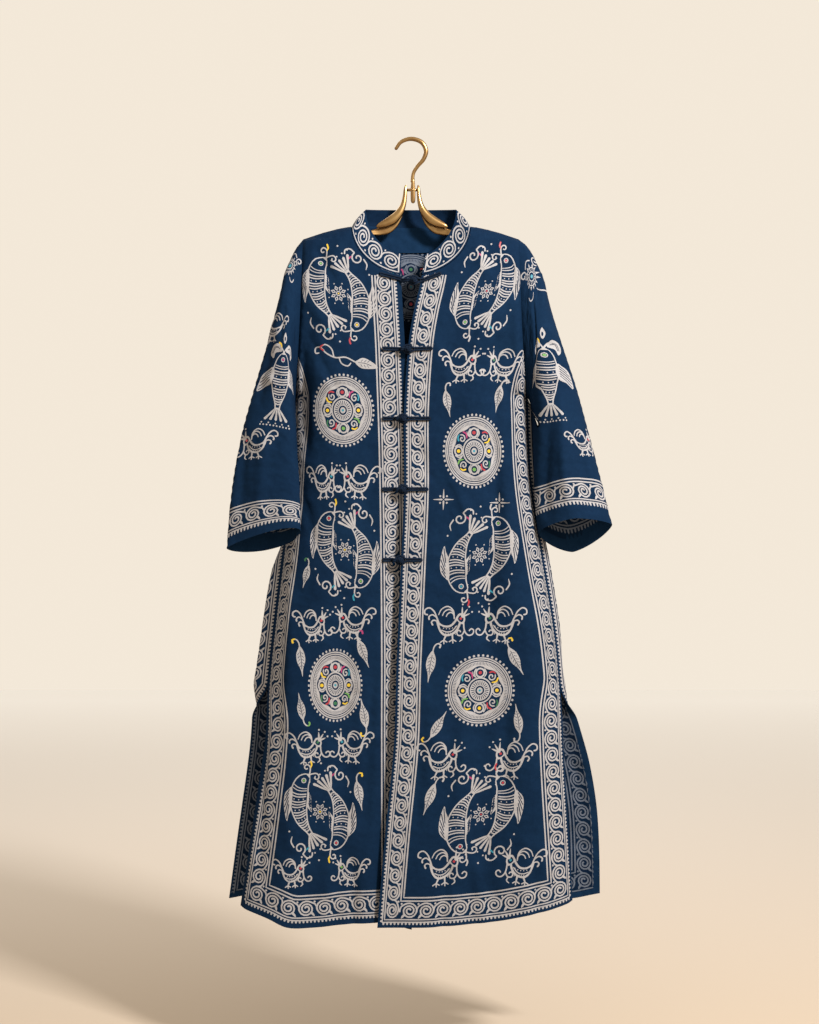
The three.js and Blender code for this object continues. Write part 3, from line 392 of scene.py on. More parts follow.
def section_grids(section):
    """The sections at every drop: x and y at equal shares of the width, and the width."""
    xs, ys, widths = [], [], []
    for drop in DROPS:
        curve = through(section(float(drop)))
        far = lengths(curve)
        at = SHARES * far[-1]
        xs.append(np.interp(at, far, curve[:, 0]))
        ys.append(np.interp(at, far, curve[:, 1]))
        widths.append(far[-1])
    return Grid(DROPS, xs), Grid(DROPS, ys), np.array(widths)


def neck_arch(x):
    """The neck ring's half circle over its width, 1 in the middle and 0 at its ends."""
    return np.sqrt(np.maximum(0, 1 - (x / NECK["half_width"]) ** 2))


def back_top_y(x):
    return RIDGE_Y + NECK["back_reach"] * neck_arch(x)


def back_top_drop(x):
    return shoulder_drop(np.abs(x)) + NECK["back_depth"] * neck_arch(x)


class Cloth:
    """A piece of cloth. "flat" gives places on the flat cloth for the form's own two numbers, "find" the
    numbers for such places, and "point" where they hang. Creases are drawn on the flat cloth."""

    way = 1
    reach = ((0, 1), (-9e9, 9e9))
    steps = (0.004, 1)
    creases = ()

    def crease_lift(self, a, b):
        """How far the creases stand out. Each has its ends on the flat cloth, width, height and bow."""
        flat = self.flat(a, b)
        total = np.zeros(len(flat))
        for start, end, width, height, bow in self.creases:
            way = (end - start) / np.linalg.norm(end - start)
            offset = flat - start
            along = offset @ way / np.linalg.norm(end - start)
            aside = offset @ np.array([-way[1], way[0]]) - bow * (1 - (2 * along - 1) ** 2)
            total += height * bell(aside / width) * ease(along / 0.3) * ease((1 - along) / 0.3)
        return total * self.free(a, b)

    def free(self, a, b):
        """How free the cloth is to crease: 0 along its seams and 1 away from them."""
        return 1

    def crease(self, rows):
        """Sets the creases from where they hang."""
        self.creases = [(self.at(x, drop), self.at(end_x, end_drop), *form)
                        for x, drop, end_x, end_drop, *form in rows]

    def normal(self, place, a, b):
        """The way the cloth faces, from places on both sides."""
        (low_a, high_a), (low_b, high_b) = self.reach
        step_a, step_b = self.steps
        across = place(np.minimum(a + step_a, high_a), b) - place(np.maximum(a - step_a, low_a), b)
        down = place(a, np.minimum(b + step_b, high_b)) - place(a, np.maximum(b - step_b, low_b))
        normal = np.cross(across, down) * self.way
        return normal / np.maximum(np.linalg.norm(normal, axis=1, keepdims=True), 1e-9)

    def place(self, a, b):
        """A point with its creases."""
        if not len(self.creases):
            return self.point(a, b)
        return self.point(a, b) + self.normal(self.point, a, b) * self.crease_lift(a, b)[:, None]

    def hang(self, flat):
        """Where places on the flat cloth hang, and the way the cloth faces there."""
        a, b = self.find(np.asarray(flat, float))
        return self.place(a, b), self.normal(self.place, a, b)


class Panel(Cloth):
    """A front or the back. On the flat cloth the first number is the distance across, from the opening of a
    front or the middle of the back, and the second the drop."""

    def __init__(self, section):
        self.x, self.y, widths = section_grids(section)
        self.width = lambda drop: np.interp(drop, DROPS, widths)

    def start(self, drop):
        """Where the flat cloth's 0 lies, as a distance from the panel's first edge."""
        return 0

    def flat(self, a, b):
        return np.stack([a * self.width(b) - self.start(b), b], axis=1)

    def find(self, flat):
        drop = flat[:, 1]
        return np.clip((flat[:, 0] + self.start(drop)) / self.width(drop), 0, 1), drop

    def free(self, a, b):
        edge = np.minimum(1 - a, a + self.open) * self.width(b)
        top = ease((b - shoulder_drop(np.abs(self.x.read(a, b)))) / 30)
        return top * lerp(ease(edge / 16), 1, ease((b - VENT_TOP) / 40))

    def share_at(self, x, drop):
        """The share of the width at which the section at a drop passes an x."""
        row = self.x.read(SHARES, np.full(len(SHARES), float(drop)))
        return float(np.interp(x, row, SHARES))

    def at(self, x, drop):
        """The place on the flat cloth that hangs at an x and a drop."""
        share = self.share_at(self.mirror * x, drop)
        return np.array([share * float(self.width(drop)) - float(self.start(drop)), drop])


class Front(Panel):
    def __init__(self, side):
        super().__init__(lambda drop: front_section(side, drop))
        self.side, self.mirror, self.way, self.open = side, side, -side, 1
        self.hem = front_hem[side]

    def point(self, a, b):
        x, y = self.x.read(a, b), self.y.read(a, b)
        full = fullness(b - shoulder_drop(np.abs(x)))
        ridge = RIDGE_Y - SEAM_GAP / 2
        y = ridge + (y - ridge) * full + fold_swell(FRONT_FOLDS[self.side], a, b) * full
        return np.stack([x * self.side, y, -b], axis=1)


class Back(Panel):
    mirror, open = 1, 0

    def __init__(self):
        super().__init__(back_section)
        middles = [self.share_at(0, drop) * float(self.width(drop)) for drop in DROPS]
        self.start = lambda drop: np.interp(drop, DROPS, middles)
        self.hem = back_hem

    def point(self, a, b):
        x, y = self.x.read(a, b), self.y.read(a, b)
        top = back_top_y(x) + SEAM_GAP / 2
        full = fullness(b - back_top_drop(x))
        y = top + (y - top) * full + fold_swell(BACK_FOLDS, a, b) * full
        return np.stack([x, y, -b], axis=1)


class Sleeve(Cloth):
    """A sleeve, unfolded along its outer crease, which is the line 0 on the flat cloth. The front half has
    positive numbers. Its form's numbers are the share round, -1 to 1, and the share down the sleeve."""

    reach = ((-1, 1), (0, 1))
    steps = (0.008, 0.004)
    SEAM = 0.998        # how much of the way round the cloth goes, so that its two edges stay apart
    RINGS, TURNS = 61, 121

    def __init__(self, side):
        self.side, self.way = side, side
        rows = np.array(SLEEVE[side], float)
        at = np.linspace(0, 1, len(rows))
        self.columns = [smooth(at, rows[:, k]) for k in range(rows.shape[1])]
        self.shares = np.linspace(0, 1, self.RINGS)
        outer = self.around(np.zeros(self.RINGS), self.shares)
        inner = self.around(np.full(self.RINGS, math.pi), self.shares)
        self.down = lengths(outer)
        tangent = np.gradient(outer, self.down, axis=0)
        chord = (inner - outer) / np.linalg.norm(inner - outer, axis=1, keepdims=True)
        lean = np.arccos(np.clip((tangent * chord).sum(1) / np.linalg.norm(tangent, axis=1), -1, 1))
        steepest = int(np.argmax(lean[:self.RINGS // 4]))
        lean[:steepest] = lean[steepest]
        for k in range(1, self.RINGS):
            step = self.down[k] - self.down[k - 1]
            lean[k] = min(lean[k], lean[k - 1] + LEAN_MARGIN * step / HALF_GIRTH)
        self.lean = lean
        angles = np.linspace(0, math.pi, self.TURNS)
        self.angle, self.girth = {}, {}
        for half in (1, -1):
            rings, girths = [], []
            for share in self.shares:
                far = lengths(self.around(angles * half, np.full(self.TURNS, share)))
                rings.append(np.interp(SHARES * far[-1], far, angles))
                girths.append(far[-1])
            self.angle[half], self.girth[half] = Grid(self.shares, rings), np.array(girths)

    def free(self, a, b):
        return ease(b / 0.09) * ease((1 - np.abs(a)) / 0.1)

    def around(self, angle, share):
        """A point of the sleeve, by its angle round from the outer crease and its share down."""
        out_x, out_drop, in_x, in_drop, mid, fore_y, aft_y, roundness = (c(share) for c in self.columns)
        cuff = CUFF[self.side]
        power = 2 / roundness
        cosine, sine = np.cos(angle), np.sin(angle)
        cosine = np.sign(cosine) * np.abs(cosine) ** power
        sine = np.sign(sine) * np.abs(sine) ** power
        fore = sine > 0
        lean = cosine - np.where(fore, cuff["lean"] * share, 0) * np.abs(sine)
        scoop = ARMHOLE["scoop"] * sine * sine * (1 - ease(share / 0.2))
        x = lerp(in_x, out_x, (1 + lean) / 2) - scoop
        drop = lerp(in_drop, out_drop, (1 + lean) / 2)
        y = mid - sine * np.where(fore, fore_y, aft_y)
        low = drop + np.abs(sine) * np.where(fore, -cuff["lift"], cuff["sag"]) * share ** cuff["fade"]
        return np.stack([(x + SEAM_GAP / 4) * self.side, y, -low], axis=1)

    def read(self, values, share):
        return np.interp(share, self.shares, values)

    def girth_at(self, a, b):
        return np.where(a >= 0, self.read(self.girth[1], b), self.read(self.girth[-1], b))

    def point(self, a, b):
        part = np.abs(a) * self.SEAM
        angle = np.where(a >= 0, self.angle[1].read(part, b), -self.angle[-1].read(part, b))
        return self.around(angle, b)

    def flat(self, a, b):
        along = np.abs(a) * self.girth_at(a, b)
        lean = self.read(self.lean, b)
        down = self.read(self.down, b) + along * np.cos(lean)
        return np.stack([np.sign(a) * along * np.sin(lean), down], axis=1)

    def find(self, flat):
        u, v = np.abs(flat[:, 0]), flat[:, 1]
        low, high = np.zeros(len(u)), np.ones(len(u))
        for _ in range(16):
            middle = (low + high) / 2
            lean = self.read(self.lean, middle)
            above = (v - self.read(self.down, middle)) * np.sin(lean) > u * np.cos(lean)
            low, high = np.where(above, middle, low), np.where(above, high, middle)
        share = (low + high) / 2
        lean = self.read(self.lean, share)
        along = u * np.sin(lean) + (v - self.read(self.down, share)) * np.cos(lean)
        half = np.where(flat[:, 0] >= 0, 1, -1)
        return half * np.clip(along / self.girth_at(half, share), 0, 1), share

    def at(self, x, drop):
        """The place on the flat front half that hangs nearest to an x and a drop, out of a net of them."""
        share, down = (g.ravel() for g in np.meshgrid(np.linspace(0, 1, 81), np.linspace(0, 1, 121)))
        points = self.point(share, down)
        best = np.argmin((points[:, 0] - x) ** 2 + (points[:, 2] + drop) ** 2)
        return self.flat(share[best:best + 1], down[best:best + 1])[0]


class Collar(Cloth):
    """The stand collar. Its form's numbers are the share round the neck, from the wearer's left end, and
    the share up."""

    reach = ((0, 1), (0, 1))
    steps = (0.003, 0.02)
    PLACES = 401

    def __init__(self, fronts):
        first, last = (math.asin(opening[s](NECK["drop"] + NECK["front_depth"]) / NECK["half_width"])
                       for s in (LEFT, RIGHT))
        self.turns = np.linspace(first, 2 * math.pi + last, self.PLACES)
        self.shares = np.linspace(0, 1, self.PLACES)
        x, cosine = NECK["half_width"] * np.sin(self.turns), np.cos(self.turns)
        drop = NECK["drop"] + NECK["front_depth"] * cosine
        depth = back_top_y(x)
        for k in np.flatnonzero(cosine > 0):
            front = fronts[LEFT if x[k] > 0 else RIGHT]
            share = np.array([front.share_at(front.side * x[k], drop[k])])
            depth[k] = front.point(share, drop[k:k + 1])[0, 1]
        behind = NECK["drop"] - NECK["back_depth"] * cosine
        self.seam = np.stack([x, depth, -np.where(cosine < 0, behind, drop)], 1)
        self.far = lengths(self.point(self.shares, np.full(self.PLACES, 0.5)))

    def point(self, a, b):
        k, whole = a * (self.PLACES - 1), np.arange(self.PLACES)
        turn = np.interp(k, whole, self.turns)
        seam = np.stack([np.interp(k, whole, self.seam[:, i]) for i in range(3)], 1)
        sine, cosine = np.sin(turn), np.cos(turn)
        ends = np.where(sine > 0, COLLAR_SPREAD[LEFT], -COLLAR_SPREAD[RIGHT])
        from_end = np.minimum(turn - self.turns[0], self.turns[-1] - turn)
        rim, fore = COLLAR_TOP, cosine > 0
        x = rim["half_width"] * sine + ends * bell(from_end / SPREAD_REACH)
        y = rim["middle_y"] - np.where(fore, rim["fore_y"], rim["aft_y"]) * cosine
        drop = rim["drop"] + np.where(fore, rim["front_depth"], rim["back_rise"]) * cosine
        top = np.stack([x, y, -drop], 1)
        share = lerp(COLLAR_FOOT, 1, b)
        out = COLLAR_BOW["out"] * np.sin(math.pi * share) - COLLAR_BOW["inset"] * (1 - share)
        bow = np.stack([sine, -cosine, 0 * sine], 1)
        return lerp(seam, top, share[:, None]) + bow * out[:, None]

    def flat(self, a, b):
        far = np.interp(a * (self.PLACES - 1), np.arange(self.PLACES), self.far)
        return np.stack([far, b * COLLAR_HEIGHT], 1)

    def find(self, flat):
        return np.interp(flat[:, 0], self.far, self.shares), np.clip(flat[:, 1] / COLLAR_HEIGHT, 0, 1)


# -------- drawing on flat cloth

FINISHES = ["indigo", "undyed", "yellow", "red", "teal", "green", "dark_green", "rose", "hem",
            "indigo_reverse_shaded", "undyed_reverse_shaded"]


class Print:
    """The shapes on one piece of flat cloth. A later shape lies over an earlier one."""

    def __init__(self):
        self.shapes = []

    def area(self, outline, finish="undyed"):
        self.shapes.append((FINISHES.index(finish), np.array(outline, float)))

    def line(self, points, width=STROKE, finish="undyed", tips=(1, 1), chunk=14):
        """A drawn line, cut into outlines. Tips are the shares of its width that it keeps at its ends."""
        points = np.array(points, float)
        way = np.gradient(points, axis=0)
        way /= np.maximum(np.linalg.norm(way, axis=1, keepdims=True), 1e-9)
        along = lengths(points)
        along = along / max(along[-1], 1e-9)
        half = width / 2 * lerp(tips[0], 1, ease(along / 0.4)) * lerp(tips[1], 1, ease((1 - along) / 0.4))
        aside = np.stack([-way[:, 1], way[:, 0]], 1) * half[:, None]
        for i in range(0, len(points) - 1, chunk):
            k = slice(i, min(i + chunk + 1, len(points)))
            left, right = (points + aside)[k], (points - aside)[k][::-1]
            if k.stop == len(points):
                left = np.vstack([left, points[-1] + way[-1] * half[-1] * 0.8])
            if i == 0:
                right = np.vstack([right, points[0] - way[0] * half[0] * 0.8])
            self.area(np.vstack([left, right]), finish)

    def dot(self, centre, radius, finish="undyed", sides=7):
        angles = np.arange(sides) / sides * 2 * math.pi
        self.area(np.array(centre) + radius * np.stack([np.cos(angles), np.sin(angles)], 1), finish)


class Pen:
    """Draws a motif on a print, about its own middle, with its own size, turn and mirror."""

    def __init__(self, print_, at, turn=0, size=1, mirror=1, squeeze=1):
        c, s = math.cos(math.radians(turn)), math.sin(math.radians(turn))
        self.matrix = np.diag([mirror, 1]) @ np.diag([squeeze, 1]) @ np.array([[c, -s], [s, c]]) * size
        self.print, self.at, self.size = print_, np.array(at, float), size

    def put(self, points):
        """The places on the flat cloth of points of the motif."""
        return np.array(points, float) @ self.matrix.T + self.at

    def inner(self, at, turn=0, size=1, flip=1):
        """A pen for a part of the motif."""
        pen = Pen(self.print, self.put([at])[0])
        c, s = math.cos(math.radians(turn)), math.sin(math.radians(turn))
        pen.matrix = self.matrix @ (np.array([[c, -s], [s, c]]) * size) @ np.diag([flip, 1])
        pen.size = self.size * size
        return pen

    def area(self, outline, finish="undyed"):
        self.print.area(self.put(outline), finish)

    def blob(self, points, finish="undyed", step=3):
        """A filled shape with a smooth outline through points."""
        ring = list(points) + list(points[:2])
        curve = through(ring, 12 * len(ring))
        stretch = (len(curve) - 1) / (len(ring) - 1)
        part = curve[int(stretch * 0.5):int(stretch * (len(points) + 0.5))]
        self.print.area(evenly(self.put(part), step)[:-1], finish)

    def line(self, points, width=STROKE, finish="undyed", tips=(1, 1), step=2.4, bent=True):
        curve = self.put(through(points, 12 * len(points)) if bent and len(points) > 2 else points)
        self.print.line(evenly(curve, step), width, finish, tips)

    def dot(self, centre, radius, finish="undyed", sides=7):
        self.print.dot(self.put([centre])[0], radius, finish, sides)

    def curl(self, centre, radius, start, sweep, width=STROKE, finish="undyed", end=0.18, tips=(1, 1)):
        """A line that winds in towards a centre, by angles in degrees."""
        t = np.linspace(0, 1, max(int(abs(sweep) / 28), 4))
        angle = np.radians(start + sweep * t)
        reach = radius * lerp(1, end, t ** 1.1)
        points = np.array(centre) + np.stack([np.cos(angle), np.sin(angle)], 1) * reach[:, None]
        self.print.line(self.put(points), width, finish, tips)

    def ring(self, centre, radius, width, finish="undyed", step=3, squash=1):
        angles = np.linspace(0, 2 * math.pi, max(int(2 * math.pi * radius * self.size / step), 8) + 1)
        points = np.array(centre) + radius * np.stack([np.cos(angles), squash * np.sin(angles)], 1)
        self.print.line(self.put(points), width, finish)


def spread(scale, points):
    """A scale at each point of a line: one number for all, or one for its start and one for its end."""
    first, last = scale if isinstance(scale, tuple) else (scale, scale)
    far = lengths(np.array(points, float))
    return lerp(first, last, far / far[-1])


def beside(path, distance, way, scale):
    """A line beside a path, at a distance to its left (way 1) or right (way -1)."""
    path = np.array(path, float)
    distance = (distance * spread(scale, path))[:, None]
    steps = np.gradient(path, axis=0)
    steps /= np.linalg.norm(steps, axis=1, keepdims=True)
    return path + np.stack([-steps[:, 1], steps[:, 0]], 1) * way * distance


def crossing(first, second):
    """Where two lines cross: the numbers of the stretches that do, and the place, or None."""
    start, step = first[:-1], np.diff(first, axis=0)
    start2, step2 = second[:-1], np.diff(second, axis=0)
    gap = start2[None] - start[:, None]
    cross = step[:, None, 0] * step2[None, :, 1] - step[:, None, 1] * step2[None, :, 0]
    cross = np.where(np.abs(cross) < 1e-9, 1e-9, cross)
    t = (gap[..., 0] * step2[None, :, 1] - gap[..., 1] * step2[None, :, 0]) / cross
    u = (gap[..., 0] * step[:, None, 1] - gap[..., 1] * step[:, None, 0]) / cross
    hits = np.argwhere((t >= 0) & (t <= 1) & (u >= 0) & (u <= 1))
    if not len(hits):
        return None
    i, j = hits[0]
    return i, j, start[i] + step[i] * t[i, j]


def inset(legs, distance, way, scales):
    """The lines beside some legs that meet at corners, each cut off where it meets the next."""
    lines = [beside(leg, distance, way, scale) for leg, scale in zip(legs, scales)]
    for k in range(len(lines) - 1):
        found = crossing(lines[k], lines[k + 1])
        if found:
            i, j, place = found
            lines[k] = np.vstack([lines[k][:i + 1], place])
            lines[k + 1] = np.vstack([place, lines[k + 1][j + 1:]])
    return lines


def whorl(put, pitch, thorn=True):
    """A running whorl about its centre: a line from the whorl before it that winds in, with a thorn."""
    turns = np.radians([-8, 20, 45, 90, 180, 270, 360, 450, 540, 630, 720, 810, 880])
    reach = np.array([pitch - 10.8, pitch - 11.6, 12.8, 11.2, 11, 10.6, 9.6, 6.8, 6.6, 6.1, 4.8, 2.6, 1.3])
    radius = smooth(turns, reach)
    turn = np.radians(np.concatenate([np.arange(-8, 90, 16), np.arange(90, 880, 27)]))
    line = np.stack([-radius(turn) * np.cos(turn), -radius(turn) * np.sin(turn)], 1)
    put(line, STROKE, (1, 1.1))
    if thorn:
        put(np.array([(-7.2, 6.4), (-9.6, 8.6), (-11.2, 10.6), (-12.6, 12.6)]), 3.6, (1, 0.25))


class Track:
    """A run of border along a path, with places given as the distance along and the distance out."""

    def __init__(self, print_, path, way, scale):
        self.print, self.way = print_, way
        self.path = evenly(path, 4)
        self.scale = spread(scale, self.path)
        self.far = lengths(self.path)
        steps = np.gradient(self.path, axis=0)
        self.steps = steps / np.linalg.norm(steps, axis=1, keepdims=True)

    def put(self, along, out):
        place = np.stack([np.interp(along, self.far, self.path[:, k]) for k in (0, 1)], 1)
        step = np.stack([np.interp(along, self.far, self.steps[:, k]) for k in (0, 1)], 1)
        spare = along - np.clip(along, 0, self.far[-1])
        scale = np.interp(along, self.far, self.scale)
        aside = np.stack([-step[:, 1], step[:, 0]], 1) * (self.way * scale * out)[:, None]
        return place + step * spare[:, None] - aside

    def whorls(self, thorn=True, dots=(-1,), pitch=WHORL_PITCH, size=1, skip=0, extra=0):
        """Whorls along the path. The thorns point out, and the dots lie on the inner side. At a corner the
        last whorl of one leg stands on the corner, and the next leg skips half a pitch."""
        length = self.far[-1] - skip + extra
        count = max(int(round(length / pitch)), 1)
        pitch = length / count
        for k in range(count):
            centre = skip + (k + 0.5) * pitch

            def put(points, width, tips):
                drawn = self.put(centre + points[:, 0] * size, points[:, 1])
                self.print.line(drawn, width, "undyed", tips, 16)

            whorl(put, pitch / size, thorn)
            for side in dots:
                spot = self.put(np.array([centre - pitch / 2]), np.array([side * 10.2]))[0]
                self.print.dot(spot, 1.7)

    def beads(self, height):
        """Beads that stand outwards from the path."""
        half = BORDER["bead_width"] / 2
        shape = np.array([(-half, -0.2), (half, -0.2), (half * 0.9, height * 0.7), (half * 0.4, height),
                          (-half * 0.4, height), (-half * 0.9, height * 0.7)])
        count = int(self.far[-1] / BORDER["bead_pitch"])
        for centre in (np.arange(count) + 0.5) * self.far[-1] / count:
            self.print.area(self.put(centre + shape[:, 0], shape[:, 1]))


def border(print_, legs, way, plain=BORDER["plain"], scales=(1, 1, 1), pitches=(WHORL_PITCH,) * 3,
           bead=BORDER["bead"], corners=True):
    """The printed border along the edges of a piece. Legs are the stretches between its corners, in order.
    The cloth lies to the left (way 1) or the right (way -1) of them, and each leg has its scale across."""
    b = BORDER
    at = plain + bead
    within = at + 2 * b["line"] + b["gap"]
    for distance, width in ((at + b["line"] / 2, b["line"]), (at + b["line"] * 1.5 + b["gap"], b["line"]),
                            (within + b["band"] + b["double"] / 2, b["double"]),
                            (within + b["band"] + b["double"] * 1.5 + b["between"], b["double"])):
        lines = [evenly(line, 8) for line in inset(legs, distance, way, scales)]
        print_.line(np.vstack([lines[0]] + [line[1:] for line in lines[1:]]), width)
    for line, scale in zip(inset(legs, at, way, scales), scales):
        Track(print_, line, way, scale).beads(bead)
    half = WHORL_PITCH / 2 * corners
    for k, line in enumerate(inset(legs, within + b["band"] / 2, way, scales)):
        track = Track(print_, line, way, scales[k])
        track.whorls(pitch=pitches[k], skip=half * (k > 0), extra=half * (k < len(legs) - 1))


# -------- motifs

def bird(pen, eye="red"):
    """A cockerel that faces right, with a crest, three wing plumes, curled tail feathers and scrolls before
    its breast."""
    pen.line([(-16, -2), (-20, -12), (-24, -20), (-31, -25), (-37, -22), (-37, -16), (-33, -15)], 2.2,
             tips=(1.2, 1.1))
    pen.line([(-20, -11), (-26, -15), (-31, -12), (-30.5, -8)], 2.2, tips=(0.8, 1.2))
    pen.line([(-18, -5), (-24, -7), (-27, -4), (-25, 0)], 2.2, tips=(0.8, 1.2))
    pen.blob([(-20, -8), (-10, 0), (0, 0), (6, -6), (10, -12), (15, -9), (15.5, -1), (11, 9), (3, 15),
              (-7, 16), (-15, 9)])
    pen.blob([(-15, -0.5), (-9, 3), (1, 3), (8, -3.5), (11, -8.5), (12.8, -7), (12.6, -2), (9, 6.4),
              (2.4, 12), (-6.5, 13), (-12.6, 7.4)], "indigo")
    pen.line([(-11.5, 7.5), (-5, 10), (3, 8.8), (10.4, 1)], 1.7)
    for k in range(5):
        pen.dot((-9 + 4.3 * k, 5.6 - 0.5 * (k - 1.4) ** 2), 1, sides=5)
    for k in range(6):
        pen.line([(-9 + 3.4 * k, 11.3), (-8.4 + 3.4 * k, 14)], 1, step=3)
    pen.blob([(8, -10), (13, -17), (19, -16), (22, -8), (19, -1), (13, -4)])
    pen.blob([(11, -10), (14, -14), (18, -13), (19.6, -8), (17.6, -4), (13, -6)], "indigo")
    pen.dot((15.4, -9.4), 2.1, eye)
    for tip, dot in (((17, -26), (17.5, -30)), ((24.5, -23), (27, -26.5)), ((28, -16.5), (31.5, -19))):
        pen.line([(17.5, -12), tip], 2.6, tips=(1.5, 0.35), step=4)
        pen.dot(dot, 1.6, sides=6)
    for reach in (1, 0.76, 0.52):
        pen.line([(6, -9), (6 - 2 * reach, -9 - 12 * reach), (6 - 10 * reach, -9 - 18 * reach),
                  (6 - 19 * reach, -9 - 14 * reach), (6 - 23 * reach, -9 - 6 * reach)], 2, tips=(1, 0.8))
    for hip, toes in (((-5, 15), (-8, 22)), ((4, 14), (5, 21))):
        pen.line([hip, toes], 2.6, tips=(1.1, 0.8), step=4)
        for claw in ((-5, 3.4), (0.5, 5.4), (5, 2.8)):
            pen.line([toes, (toes[0] + claw[0], toes[1] + claw[1])], 1.8, step=4)
    pen.line([(20, -3), (20.5, 4), (23, 11), (28, 15), (34, 13), (35, 7.5), (31, 5.5), (28.5, 8.5)], 2.2)
    pen.line([(21.5, 8), (18, 14.5), (12.5, 15), (10.5, 10), (14, 7.5), (16, 10)], 2.1)
    pen.line([(17, 15), (19, 20), (15, 24)], 2.2, tips=(1, 0.5))


def leaf(pen, tip="yellow"):
    """A hatched leaf along its own x axis, with a curled stalk behind it and a pointed end."""
    half = 22
    pen.line([(-half + 4, 0), (-half - 4, -1), (-half - 9, -5), (-half - 8, -10), (-half - 4, -9)], 2,
             tips=(1, 1.2))
    pen.blob([(-half + 2, 0), (-half * 0.4, -6), (half * 0.2, -6.2), (half * 0.8, -1.5), (half + 7, 0),
              (half * 0.75, 2), (half * 0.1, 7), (-half * 0.5, 5.5)])
    pen.line([(-half * 0.6, 0), (half * 0.1, 0.6), (half * 0.75, 0)], 1, "indigo")
    for k in range(5):
        x = lerp(-half * 0.45, half * 0.5, k / 4)
        pen.line([(x, -1.2), (x + 3, -4.6)], 0.8, "indigo", step=5)
        pen.line([(x, 1.6), (x + 3, 4.8)], 0.8, "indigo", step=5)
    if tip:
        pen.line([(-half - 9.4, -6), (-half - 8, -10), (-half - 3.6, -9.4)], 2.6, tip, tips=(0.8, 1.2))


def star(pen):
    """A four-armed star with four dots."""
    for k in range(4):
        part = pen.inner((0, 0), 90 * k)
        part.area([(1, 0), (3, -1.5), (16, -0.4), (16, 0.4), (3, 1.5)])
        part.dot((5.2, 5.2), 1.7, sides=6)


def drum(pen):
    """A small drum face with an eye, rays and two curls."""
    pen.ring((0, 0), 12, 2)
    pen.ring((0, 0), 6.2, 1.8)
    pen.dot((0, 0), 3.4, "teal", 9)
    rays = 14
    for k in range(rays):
        part = pen.inner((0, 0), 360 / rays * k)
        part.area([(7.6, -0.5), (10.6, -0.7), (10.6, 0.7), (7.6, 0.5)])
        part.area([(13.6, -1.7), (18.4, 0), (13.6, 1.7)])
    for flip in (1, -1):
        pen.curl((flip * 18, -17), 7, 90, 430 * flip, 2.2)
        pen.line([(flip * 7, 20), (flip * 12, 25), (flip * 20, 24), (flip * 22, 18)], 2.2, tips=(0.6, 1.1))
    pen.line([(-9, -20), (0, -25), (9, -20)], 2.2)


def circle(radius, sides):
    angles = np.arange(sides) / sides * 2 * math.pi
    return radius * np.stack([np.cos(angles), np.sin(angles)], 1)


def roundel(pen, reach=59, north="red", south="green"):
    """A sun roundel: a toothed rim, a combed ring with a scalloped edge, discs and scrolls, and a hub."""
    teeth, hairs = 46, 112
    for k in range(teeth):
        part = pen.inner((0, 0), 360 / teeth * k)
        part.area([(reach * 0.935, -1.7), (reach * 0.985, -1.8), (reach, 0), (reach * 0.985, 1.8),
                   (reach * 0.935, 1.7)])
    pen.ring((0, 0), reach * 0.895, 2, step=4)
    pen.ring((0, 0), reach * 0.84, 1.8, step=4)
    pen.area(circle(reach * 0.80, 44))
    scallops = np.linspace(0, 2 * math.pi, 97)[:-1]
    pen.area(np.stack([np.cos(scallops), np.sin(scallops)], 1)
             * (reach * (0.645 + 0.028 * np.cos(8 * scallops + 0.4)))[:, None], "indigo")
    for k in range(hairs):
        part = pen.inner((0, 0), 360 / hairs * k)
        low, high = reach * 0.705, reach * 0.78
        part.area([(low, -0.36), (high, -0.4), (high, 0.4), (low, 0.36)], "indigo")
    for k, eye in enumerate(("yellow", south, "yellow", north)):
        part = pen.inner((0, 0), 90 * k)
        out = reach * 0.49
        part.ring((out, 0), reach * 0.118, 2.6, step=3)
        part.dot((out, 0), reach * 0.05, eye, 8)
        part.line([(out - 8, -6), (out - 1, -10), (out + 6, -7)], 2, tips=(0.4, 1))
        part.line([(out - 8, 6), (out - 1, 10), (out + 6, 7)], 2, tips=(0.4, 1))
        part.line([(out - 7, -7), (out - 3, -12), (out + 2, -13)], 1.8, tips=(1, 0.4))
    accents = ("red", "dark_green", "green", "yellow", "rose", "teal", "yellow", "red")
    for k in range(4):
        part = pen.inner((0, 0), 45 + 90 * k)
        out = reach * 0.5
        part.curl((out, -2), 6.5, 20, 420, 2)
        part.line([(out - 6, 5), (out, 9), (out + 6, 7)], 2.6, accents[2 * k], tips=(0.6, 1))
        part.line([(out + 2, -9), (out + 7, -6), (out + 8, -1)], 2.4, accents[2 * k + 1], tips=(1, 0.6))
    pen.ring((0, 0), reach * 0.345, 2.2)
    pen.area(circle(reach * 0.285, 26))
    for k in range(24):
        part = pen.inner((0, 0), 15 * k)
        low, high = reach * 0.15, reach * 0.255
        part.area([(low, -0.5), (high, -0.7), (high, 0.7), (low, 0.5)], "indigo")
    pen.area(circle(reach * 0.13, 16), "indigo")
    pen.area(circle(reach * 0.085, 12))
    pen.dot((0, 0), reach * 0.035, "teal", 7)


